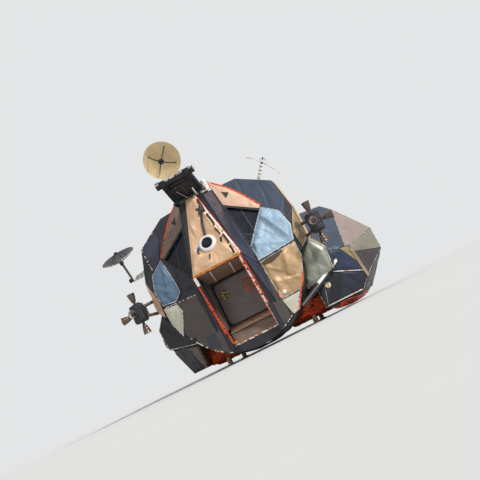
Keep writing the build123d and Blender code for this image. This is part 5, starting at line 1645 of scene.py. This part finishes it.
class ASCENT_OT_radar(Operator):
    """Builds the rendezvous radar's dish with its rim, struts, hub and holes, and dresses its pedestal and yoke"""

    bl_idname = "ascent.radar"
    bl_label = "Rendezvous Radar"

    def execute(self, context):
        cream = metal("radar_bowl_gold", (0.72, 0.53, 0.29), 0.45, 0.1, 7, 0.14)
        dark = metal("radar_charcoal", (0.02, 0.02, 0.024), 0.42, 0.3)
        bright = metal("rim_bright", (0.9, 0.88, 0.8), 0.25, 0.7, 25, 0.1)
        bowl, bars, feed, vertex = dish_parts(
            "radar", RADAR_PIVOT, RADAR_SIGHT, (0.302, 0.074, 0.007, 0.0045), (0.228, 0.205, 0.0085, 50), (0.046, 0.06),
            0.105
        )
        sight, up = Vector(RADAR_SIGHT), Vector(RADAR_UP)
        coloured(bowl, cream, bright)
        second_where(bowl, lambda face: off_axis(face, vertex, sight)[1].length > 0.3005)
        stem = turned(
            "radar_stem", ((0.03, 0.0), (0.03, 0.085), (0.055, 0.098), (0.055, 0.104), (0, 0.104)), RADAR_PIVOT, sight,
            32,
        )
        sleeve = turned(
            "radar_sleeve",
            (
                (0.01806, -0.055), (0.042, -0.055), (0.042, -0.045), (0.038, -0.042), (0.038, 0.042), (0.042, 0.045),
                (0.042, 0.055), (0.01806, 0.055), (0.01806, -0.055),
            ), RADAR_PIVOT, up, 40,
        )
        ribs = []
        for sixth in range(6):
            out = round_way(sight, 60 * sixth)
            spots = [vertex + out * r + sight * (0.074 * (r / 0.305) ** 2 - 0.01) for r in (0.04, 0.12, 0.2, 0.28)]
            ribs.append(tube("radar_rib", spots, 0.006, 8))
        for part in (stem, sleeve, feed, *ribs, *bars):
            coloured(part, dark)
        finish_piece(join([bowl], "radar_bowl"), "radar_dish", "radar_cream", 40)
        finish_piece(join([stem, sleeve, feed, *ribs, *bars], "radar_mount_and_struts"), "radar_dish", "radar_dark", 40)
        holes = []
        for index in range(12):
            reach = 0.13 if index % 2 else 0.24
            spot = vertex + round_way(sight, 30 * index + 15) * reach + sight * (0.074 * (reach / 0.302) ** 2)
            holes.append(turned("hole", ((0.0055, -0.002), (0.0055, 0.0025), (0, 0.0025)), spot, sight, 12))
        painted(join(holes, "radar_holes"), dark, "radar_dark", "radar_dish")
        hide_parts("radar_dish")
        # Pedestal and yoke
        wear("radar_pedestal", dark)
        wear("radar_yoke", dark)
        shaft = Vector(RADAR_SHAFT)
        # Bright beaded tape along the shaft's upper side only: real beads, and a painted highlight where light falls on
        # the shaft's top.
        beads = taped("bright_beads", (0.88, 0.9, 0.94), ((0.05, 0.05, 0.06), (0.1, 0.1, 0.12)), 0.62, 46)
        rows = []
        for low, high in ((-0.346, -0.284), (0.284, 0.346), (-0.17, 0.17)):
            for turn in (14, 34, 54, 74):
                angle = math.radians(turn)
                out = Vector((0, -math.cos(angle), math.sin(angle))) * 0.066
                rows.append((shaft + out + Vector((low, 0, 0)), shaft + out + Vector((high, 0, 0))))
        stuck("radar_shaft_beads", rows, (0, -0.72, 0.69), "radar_dark", beads, 0.017, 0.014, "radar_yoke", 0.014)
        # An inner panel with ribs fills the pedestal between its legs, clear of the shaft
        low, high = Vector((0, -1.64, 2.862)), Vector((0, -2.0613, 3.0995))
        along = (high - low).normalized()
        outward = Vector((0, along.z, -along.y))
        if outward.y > 0:
            outward = -outward
        inner = strip(low + outward * 0.02, high + outward * 0.02, outward, 0.362, 0.01, 10)
        bars = []
        for x in (-0.165, 0.015, 0.165):
            ends = [low.lerp(high, share) + outward * 0.034 + Vector((x, 0, 0)) for share in (0.0, 0.8)]
            bars.append(strip(*ends, outward, 0.018, 0.034, 6))
        for share in (0.06, 0.93):
            ends = [low.lerp(high, share) + outward * 0.028 + Vector((x, 0, 0)) for x in (-0.16, 0.16)]
            bars.append(strip(*ends, outward, 0.016, 0.01, 6))

        def on_panel(x, share):
            base = low.lerp(high, share) + Vector((x, 0, 0))
            found, spot, _, _ = bpy.data.objects["radar_pedestal"].ray_cast(base + outward * 0.5, -outward)
            return (spot if found else base + outward * 0.026) + outward * 0.006

        for name, colour, rows, width in (
            ("white", (0.82, 0.82, 0.8), (((0.14, 0.42), (0.145, 0.18)), ((-0.01, 0.12), (0.03, 0.02))), 0.024),
            ("tan", (0.42, 0.3, 0.17), (((0.07, 0.06), (0.12, 0.1)),), 0.036),
            ("grey", (0.28, 0.26, 0.28), (((-0.12, 0.62), (-0.02, 0.18)), ((-0.09, 0.8), (-0.09, 0.76))), 0.012),
        ):
            stuck(
                f"radar_bracket_{name}", [(on_panel(*a), on_panel(*b)) for a, b in rows], outward, "radar_dark",
                metal(f"bracket_{name}", colour, 0.4, 0.2), width, 0.016, HULL, 0.003,
            )
        painted(join([inner], "radar_inner_panel"), metal("panel_black", (0.011, 0.01, 0.013), 0.45, 0.2), "radar_dark")
        painted(join(bars, "radar_inner_ribs"), metal("rib_grey", (0.06, 0.055, 0.068), 0.4, 0.3), "radar_dark")
        profile = ((0.0, 0.012), (0.03, 0.012), (0.034, 0.006), (0.056, 0.006), (0.06, 0.0))
        caps = [turned("cap", profile, shaft + Vector((side * 0.345, 0, 0)), (side, 0, 0), 40) for side in (1, -1)]
        cap_tan = metal("cap_tan", (0.46, 0.36, 0.22), 0.4, 0.2)
        painted(join(caps, "radar_shaft_caps"), cap_tan, "radar_dark", "radar_yoke")
        ribs = []
        for side in (1, -1):
            x = side * 0.272
            for foot, head in (((-1.56, 2.86), (-2.085, 3.13)), ((-1.72, 2.86), (-2.135, 3.1))):
                ribs.append(strip((x, *foot), (x, *head), (side, 0, 0), 0.02, 0.01, 6))
        painted(join(ribs, "radar_leg_ribs"), metal("leg_grey", (0.09, 0.09, 0.1), 0.4, 0.5), "radar_dark")
        for name, low, high, colour in (
            ("radar_white_box", (0.215, -1.742, 2.79), (0.285, -1.69, 2.862), (0.8, 0.8, 0.76)),
            ("radar_tan_box", (0.12, -1.742, 2.8), (0.18, -1.695, 2.852), (0.5, 0.38, 0.22)),
            ("radar_blue_box", (-0.2, -1.745, 2.79), (-0.06, -1.695, 2.85), (0.03, 0.07, 0.08)),
        ):
            painted(block(name, low, high, 0.005), metal(f"{name}_paint", colour, 0.45, 0.1), "radar_dark")
        return {"FINISHED"}


class ASCENT_OT_steerable_dish(Operator):
    """Builds the steerable dish with its rim, struts and ears, and wraps its mast in foil"""

    bl_idname = "ascent.steerable_dish"
    bl_label = "Steerable Dish"

    def execute(self, context):
        grey = metal("dish_grey", (0.085, 0.08, 0.088), 0.4, 0.5, 9, 0.35)
        dark = bpy.data.materials["radar_charcoal"]
        white = taped("rim_dots", (0.84, 0.84, 0.82), ((0.05, 0.05, 0.06), (0.04, 0.04, 0.04)), 0.45, 30)
        bowl, bars, feed, vertex = dish_parts(
            "steerable", DISH_PIVOT, DISH_SIGHT, (0.3255, 0.086, 0.007, 0.0045), (0.17, 0.185, 0.0055, 45),
            (0.034, 0.04), 0.062
        )
        sight, axis = Vector(DISH_SIGHT), Vector(DISH_AXIS)
        coloured(bowl, grey, white)
        second_where(bowl, lambda face: off_axis(face, vertex, sight)[1].length > 0.322)
        finish_piece(join([bowl], "steerable_bowl"), "steerable_dish", "dish_metal", 40, "steerable_dish")
        ears = []
        pivot = Vector(DISH_PIVOT)
        for side in (1, -1):
            centre = pivot + axis * side * 0.037
            ear = strip(centre, centre + sight * 0.06, axis, 0.052, 0.016)
            boss = turned(
                "boss", ((0, 0.008), (0.02, 0.008), (0.026, 0.004), (0.026, -0.008), (0, -0.008)), centre, axis * side,
                28,
            )
            ears += [ear, boss]
        pin = turned("pin", ((0, -0.045), (0.013, -0.045), (0.013, 0.045), (0, 0.045)), pivot, axis, 28)
        frame_parts = [coloured(part, dark) for part in (*bars, feed, *ears, pin)]
        finish_piece(join(frame_parts, "steerable_mount_and_struts"), "steerable_dish", "radar_dark", 40)
        wear("steerable_dish_arm", metal("arm_metal", (0.16, 0.15, 0.15), 0.4, 0.6))
        wear("steerable_dish_mast", bpy.data.materials["strut_wrap"])
        # Foil wrapped round the mast and the arm's root, and the dark drive that turns with the arm
        bright = taped(
            "mount_foil", (0.88, 0.86, 0.82), ((0.8, 0.24, 0.06), (0.55, 0.52, 0.5), (0.88, 0.86, 0.82)), 0.66, 20,
        )
        for name, start, turns, radius, body in (
            ("mast_foil", -1.33, 8, 0.068, HULL), ("arm_root_foil", -1.488, 7, 0.054, "steerable_dish_arm"),
            ("arm_foil", -1.612, 12, 0.034, "steerable_dish_arm"),
        ):
            profile = [(radius - 0.006, 0.0)]
            profile += [(radius + 0.012 * (step % 2), 0.016 * step + 0.008) for step in range(turns)]
            profile += [(radius - 0.008, 0.016 * turns + 0.008)]
            wrap = turned(name, profile, (start, *DISH_SHAFT), (-1, 0, 0), 40)
            cut_in_cells(wrap, 0.012)
            crinkled(wrap, 0.018)
            painted(wrap, bright, "strut_metal", body)
        drive = turned(
            "dish_drive",
            (
                (0.0, 0.0), (0.034, 0.0), (0.04, 0.006), (0.04, 0.026), (0.034, 0.032), (0.034, 0.052),
                (0.04, 0.058), (0.04, 0.082), (0.03, 0.09), (0.0, 0.09),
            ),
            (-1.808, *DISH_SHAFT), (-1, 0, 0), 40,
        )
        painted(drive, dark, "radar_dark", "steerable_dish_arm", 40)
        return {"FINISHED"}


class ASCENT_OT_antennas(Operator):
    """Bands the voice mast, tips its whips and dresses the small antenna on the port facet"""

    bl_idname = "ascent.antennas"
    bl_label = "Antennas"

    def execute(self, context):
        root, tip = Vector((1.11, -1.07, 2.66)), Vector((1.335, -1.07, 2.95))
        lean = (tip - root).normalized()
        bands = banded(
            "mast_bands", ((0.84, 0.82, 0.76), (0.58, 0.2, 0.06), (0.8, 0.76, 0.66), (0.05, 0.05, 0.05)), 0.13, lean,
        )
        wear("voice_antenna_mast", bands)
        tips = []
        for spot in ((1.106, -1.07, 3.147), (1.507, -1.07, 2.6)):
            tips.append(
                turned(
                    "tip", ((0, -0.014), (0.009, -0.01), (0.012, 0.0), (0.009, 0.01), (0, 0.014)), spot,
                    Vector(spot) - tip, 20,
                )
            )
        white = metal("tip_white", (0.9, 0.88, 0.82), 0.3, 0.1)
        painted(join(tips, "whip_tips"), white, "antenna_metal")
        rings = []
        profile = ((0.022, -0.012), (0.032, -0.009), (0.032, 0.009), (0.022, 0.012))
        for share in (0.15, 0.38, 0.55, 0.74, 0.94):
            rings.append(turned("ring", profile, root.lerp(tip, share), lean, 28))
        painted(join(rings, "mast_rings"), white, "antenna_metal")
        cross = []
        for first, last in (((-0.045, -0.03, 0.02), (0.045, 0.03, -0.03)), ((-0.01, 0.045, 0.0), (0.01, -0.045, 0.01))):
            foot = tip + lean * 0.02
            cross.append(tube("cross", (foot + Vector(first), tip + lean * 0.05, foot + Vector(last)), 0.005, 8))
        cross.append(tube("cross", (tip - lean * 0.02, tip + lean * 0.06), 0.01, 10))
        painted(join(cross, "mast_head_cross"), metal("head_grey", (0.16, 0.17, 0.2), 0.4, 0.5), "antenna_metal")
        for node in ("forward_omni_antenna", "aft_omni_antenna"):
            wear(node, metal("omni_white", (0.86, 0.84, 0.8), 0.35, 0.1))
        wear("alignment_telescope", metal("telescope_black", (0.028, 0.028, 0.032), 0.5, 0.3))
        rings = [
            turned("ring", ((0.062, -0.008), (0.07, -0.006), (0.07, 0.006), (0.062, 0.008)), (0, -0.86, z), UP, 40)
            for z in (2.832, 2.86, 2.912)
        ]
        painted(join(rings, "telescope_rings"), metal("telescope_band", (0.3, 0.3, 0.31), 0.35, 0.7), "radar_dark")
        wear("docking_target", metal("target_black", (0.02, 0.02, 0.022), 0.5, 0.1))
        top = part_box("docking_target")[1][2]
        marks = [
            strip((0.572, -0.33, top), (0.708, -0.33, top), UP, 0.012, 0.004, 4),
            strip((0.64, -0.398, top), (0.64, -0.262, top), UP, 0.012, 0.004, 4),
        ]
        base = top - 0.13
        for turn in range(8):
            out = round_way(UP, 45 * turn)
            middle = Vector((0.64, -0.33, base))
            marks.append(strip(middle + out * 0.085, middle + out * 0.128, UP, 0.01, 0.003, 2))
        painted(join(marks, "target_marks"), white, "radar_dark")
        return {"FINISHED"}


# The ribbons under the port tank housing: three places along each one, and its width
KEEL_RIBBONS = (
    (((1.4, -0.972), (1.66, -0.806), (1.868, -0.54)), 0.026),
    (((1.35, -0.955), (1.66, -0.73), (1.905, -0.39)), 0.014),
    (((1.31, -0.945), (1.64, -0.65), (1.925, -0.23)), 0.026),
    (((1.27, -0.945), (1.6, -0.57), (1.915, -0.08)), 0.014),
    (((1.24, -0.95), (1.55, -0.5), (1.88, 0.06)), 0.026),
)
# How far the sheet under that housing sags, and how far in from its edge it reaches that
KEEL_SAG, KEEL_REACH = 0.105, 0.34


class ASCENT_OT_underside(Operator):
    """Builds the engine's skirt, the layered red foil of the underside and the feet"""

    bl_idname = "ascent.underside"
    bl_label = "Underside"

    def execute(self, context):
        films = context.scene.ascent_film
        steps = 28
        outer = []
        for step in range(steps + 1):
            radius, height = flare(*ENGINE_BELL, step / steps), -ENGINE_LENGTH * (step / steps)
            outer.append((radius, height))
            if step in (8, 16, 23):
                outer += [
                    (radius + 0.006, height - 0.001), (radius + 0.007, height - 0.01), (radius + 0.004, height - 0.012),
                ]
        lip = [(0.396, -0.69), (0.39, -0.69)]
        inner = [
            (flare(*ENGINE_BELL, step / steps) - 0.009, -ENGINE_LENGTH * step / steps) for step in range(steps, -1, -1)
        ]
        bell = turned("engine_skirt", outer + lip + inner + [outer[0]], (0, 0, 0.83), (0, 0, 1), 96)
        skirt = metal("skirt_copper", films.copper, 0.5, 0.25, 12, 0.3)
        soot = metal("skirt_soot", (0.035, 0.026, 0.024), 0.7, 0.1, 9, 0.4)
        coloured(bell, skirt, soot)
        second_where(bell, lambda face: face.normal.xy.dot(face.center.xy) < 0)
        finish_piece(bell, HULL, "bell_skin", 40, "ascent_engine_bell")
        wear("ascent_engine_block", metal("engine_dull", (0.28, 0.27, 0.26), 0.45))
        ember = bpy.data.materials["ember_foil"]
        for word in ("port", "starboard"):
            panels(
                f"{word}_belly_foil", f"{word}_belly_blanket", lambda spot, normal: ember, "red_foil", cell=0.02,
                crease=0.03, billow=0.03, hem=0.03, gap=0.003, lift=0.006, along=(0.8, 0.6, 0),
            )
            wear(f"{word}_belly_blanket", ember)
        # A dark sheet that sags under the port tank housing, with ribbons of red foil that fan out over it
        outline = [(x, y, 0.15) for x, y in ((1.19, -1.1), (1.83, -0.75), (1.985, 0), (1.83, 0.75), (1.19, 1.1))]
        black = bpy.data.materials["band_black_film"]
        keel = patch(
            "housing_keel", outline, (0, 0, -1), black, "port_housing_skin", lift=0.006, cell=0.02, crease=0.006,
            billow=0.006
        )
        hang(keel, outline, KEEL_SAG, KEEL_REACH)
        for index, (spots, width) in enumerate(KEEL_RIBBONS):
            strap = ribbon(
                f"housing_foil_{index + 1}", [(x, y, 0.13) for x, y in spots], (0, 0, -1), width, ember, "red_foil",
                0.004
            )
            hang(strap, outline, KEEL_SAG, KEEL_REACH)
        wear("interstage_feet", metal("foot_tan", (0.5, 0.38, 0.22), 0.45, 0.3))
        bands = []
        for x in (-0.864, 0.864):
            for y in (-0.64, 0.64):
                for z in (0.06, 0.2, 0.34):
                    bands.append(
                        turned(
                            "band", ((0.045, -0.012), (0.05, -0.009), (0.05, 0.009), (0.045, 0.012)), (x, y, z), UP, 32,
                        )
                    )
        painted(join(bands, "foot_bands"), metal("foot_band", (0.62, 0.52, 0.36), 0.4, 0.3), "foot_metal")
        return {"FINISHED"}


class ASCENT_OT_hull_rear(Operator):
    """Covers the midsection and the aft equipment bay, and dresses the docking tunnel and the inside"""

    bl_idname = "ascent.hull_rear"
    bl_label = "Rear Hull"

    def execute(self, context):
        dots = bpy.data.materials["dotted_tape"]

        def outer_wall(spot, normal):
            out = Vector((spot.x, 0, spot.z - 1.6)).normalized()
            if abs(normal.y) > 0.5 or normal.dot(out) < 0.3:
                return None
            return skin("slate") if normal.z > 0.3 else skin("taupe")

        for word in ("port", "starboard"):
            panels(f"{word}_midsection_film", f"{word}_midsection_wall", outer_wall, "aft_bay_skin")
        panels(
            "midsection_roof_film", "midsection_roof", chooser([(UP, "slate")]), "aft_bay_skin",
            seams=[((0, 0, 0), (0, 1, 0))],
        )

        def aft(spot, normal):
            if normal.y < -0.5:
                return None
            if normal.y > 0.9:
                return skin("taupe") if spot.z > 1.35 else skin("tan")
            return skin("olive") if abs(normal.x) > 0.9 else skin("umber")

        seams = [((0, 0, 1.35), (0, 0, 1)), ((-0.34, 0, 0), (1, 0, 0)), ((0.34, 0, 0), (1, 0, 0))]
        panels("aft_bay_film", "aft_equipment_bay", aft, "aft_bay_skin", seams=seams)
        tapes("aft_bay_tape", "aft_equipment_bay", aft, dots, "aft_bay_skin", lift=0.012)
        satin = metal("tunnel_satin", (0.42, 0.42, 0.41), 0.35, 0.8)
        wear("docking_tunnel", satin)
        bolts = []
        for index in range(24):
            spot = round_way(UP, 15 * index) * 0.467 + Vector((0, 0, 2.768))
            bolts.append(turned("bolt", ((0, 0.008), (0.008, 0.008), (0.01, 0.005), (0.01, 0.0)), spot, UP, 12))
        painted(join(bolts, "tunnel_bolts"), metal("bolt_grey", (0.25, 0.25, 0.26), 0.3), "tunnel_metal")
        primer = metal("primer", (0.34, 0.35, 0.31), 0.6, 0.1, 14, 0.12)
        for node in ("cabin_floor", "midsection_deck", "overhead_hatch", "overhead_hatch_lugs"):
            wear(node, primer)
        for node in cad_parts:
            if node.startswith(FILMED) and node not in DRESSED:
                wear(node, skin("soot"))
        return {"FINISHED"}


# The CAD pieces that stay dark behind their film, by the starts of their names, and those that don't
FILMED = ("cabin_", "midsection_", "port_", "starboard_", "hatch_", "nose", "aft_", "forward_hatch")
DRESSED = {
    "cabin_floor", "midsection_deck", "port_window_pane", "starboard_window_pane", "docking_window_pane",
    "port_belly_blanket", "starboard_belly_blanket", "port_housing_brace", "forward_omni_antenna", "aft_omni_antenna",
}


class ASCENT_OT_stage(Operator):
    """Sets up the floor, the studio light and the camera at floor level"""

    bl_idname = "ascent.stage"
    bl_label = "Stage"

    def mix(self, tree, share, first, second, output):
        """Mixes two shaders into a tree's output."""
        both = added(tree, "MixShader", {0: share, 1: first.outputs[0], 2: second.outputs[0]})
        feed(tree, output, {"Surface": both.outputs[0]})

    def execute(self, context):
        stage = context.scene.ascent_stage
        bpy.ops.mesh.primitive_grid_add(x_subdivisions=8, y_subdivisions=8, size=60, location=(0, 10, 0))
        floor = context.active_object
        floor.name = "studio_floor"
        material, tree, shader, place = nodes_of("studio_floor")
        stops = ((0.3, tint(stage.floor, 0.985)), (0.7, tuple(stage.floor)))
        speck = ramp_node(tree, noise_node(tree, place, 1.5, 3.0), stops)
        feed(tree, shader, {"Base Color": speck, "Roughness": 0.9})
        # The floor is clear from below, so that the underside can be looked at
        face, clear = added(tree, "NewGeometry", {}), added(tree, "BsdfTransparent", {})
        self.mix(tree, face.outputs["Backfacing"], shader, clear, tree.nodes["Material Output"])
        floor.data.materials.append(material)
        target = Vector((0.343, -1.016, 1.888))
        azimuth, roll = stage.azimuth, stage.roll
        back = Vector((math.sin(azimuth), -math.cos(azimuth), 0))
        rise = stage.height - target.z
        flat = math.sqrt(stage.distance**2 - rise**2)
        eye = target + back * flat + Vector((0, 0, rise))
        ahead = (target - eye).normalized()
        right = ahead.cross(Vector(UP)).normalized()
        up = right.cross(ahead)
        view_right = right * math.cos(roll) - up * math.sin(roll)
        view_up = right * math.sin(roll) + up * math.cos(roll)
        bpy.ops.object.camera_add(location=eye)
        camera = context.active_object
        camera.matrix_world = Matrix.Translation(eye) @ facing(view_right, view_up, -ahead)
        camera.data.lens = stage.lens
        camera.data.sensor_width = 36
        context.scene.camera = camera
        # The key light stands where the photograph's top edge points
        bpy.ops.object.light_add(type="SUN", location=(0, 0, 6))
        key = context.active_object
        sun = (view_up * 0.86 - ahead * 0.42 + view_right * 0.28).normalized()
        key.rotation_euler = Vector(UP).rotation_difference(sun).to_euler()
        key.data.energy = stage.key_power
        key.data.angle = math.radians(6)
        world = bpy.data.worlds.new("studio")
        context.scene.world = world
        world.use_nodes = True
        tree = world.node_tree
        background = tree.nodes["Background"]
        feed(tree, background, {"Color": (1, 1, 1, 1), "Strength": stage.fill})
        path = added(tree, "LightPath", {})
        seen = path.outputs["Is Camera Ray"]
        for ray in ("Is Glossy Ray", "Is Transmission Ray"):
            seen = added(tree, "Math", {0: seen, 1: path.outputs[ray]}, operation="MAXIMUM").outputs[0]
        pale = added(tree, "Background", {"Color": (0.86, 0.87, 0.88, 1), "Strength": 0.9})
        self.mix(tree, seen, background, pale, tree.nodes["World Output"])
        context.scene.view_settings.view_transform = "Standard"
        return {"FINISHED"}


# The add-on


BUILD_STEPS = (
    ASCENT_OT_cabin_film,
    ASCENT_OT_nose_film,
    ASCENT_OT_nose_edges,
    ASCENT_OT_hatch_fittings,
    ASCENT_OT_windows,
    ASCENT_OT_tracking_light,
    ASCENT_OT_foil_truss,
    ASCENT_OT_housing_film,
    ASCENT_OT_housing_beam,
    ASCENT_OT_jets,
    ASCENT_OT_radar,
    ASCENT_OT_steerable_dish,
    ASCENT_OT_antennas,
    ASCENT_OT_underside,
    ASCENT_OT_hull_rear,
    ASCENT_OT_stage,
)


class ASCENT_PT_builder(Panel):
    """Lists the steps that dress the ascent stage"""

    bl_idname = "ASCENT_PT_builder"
    bl_label = "Ascent Stage"
    bl_space_type = "VIEW_3D"
    bl_region_type = "UI"
    bl_category = "Ascent Stage"

    def draw(self, context):
        layout = self.layout
        for group in (context.scene.ascent_panels, context.scene.ascent_film, context.scene.ascent_stage):
            box = layout.box()
            for name in group.bl_rna.properties.keys():
                if name not in ("rna_type", "name"):
                    box.prop(group, name)
        for step in BUILD_STEPS:
            layout.operator(step.bl_idname)


SETTINGS = (
    ("ascent_film", FilmSettings),
    ("ascent_panels", PanelSettings),
    ("ascent_stage", StageSettings),
)


def register():
    """Adds the settings, the operators and the panel."""
    for name, group in SETTINGS:
        bpy.utils.register_class(group)
        setattr(bpy.types.Scene, name, PointerProperty(type=group))
    for step in BUILD_STEPS:
        bpy.utils.register_class(step)
    bpy.utils.register_class(ASCENT_PT_builder)


def unregister():
    """Takes out what register added."""
    bpy.utils.unregister_class(ASCENT_PT_builder)
    for step in reversed(BUILD_STEPS):
        bpy.utils.unregister_class(step)
    for name, group in reversed(SETTINGS):
        delattr(bpy.types.Scene, name)
        bpy.utils.unregister_class(group)


def main():
    """Registers the add-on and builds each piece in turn."""
    register()
    for step in BUILD_STEPS:
        group, call = step.bl_idname.split(".")
        if getattr(getattr(bpy.ops, group), call)() != {"FINISHED"}:
            raise RuntimeError(f"{step.bl_label} did not finish")


if __name__ == "__main__":
    main()
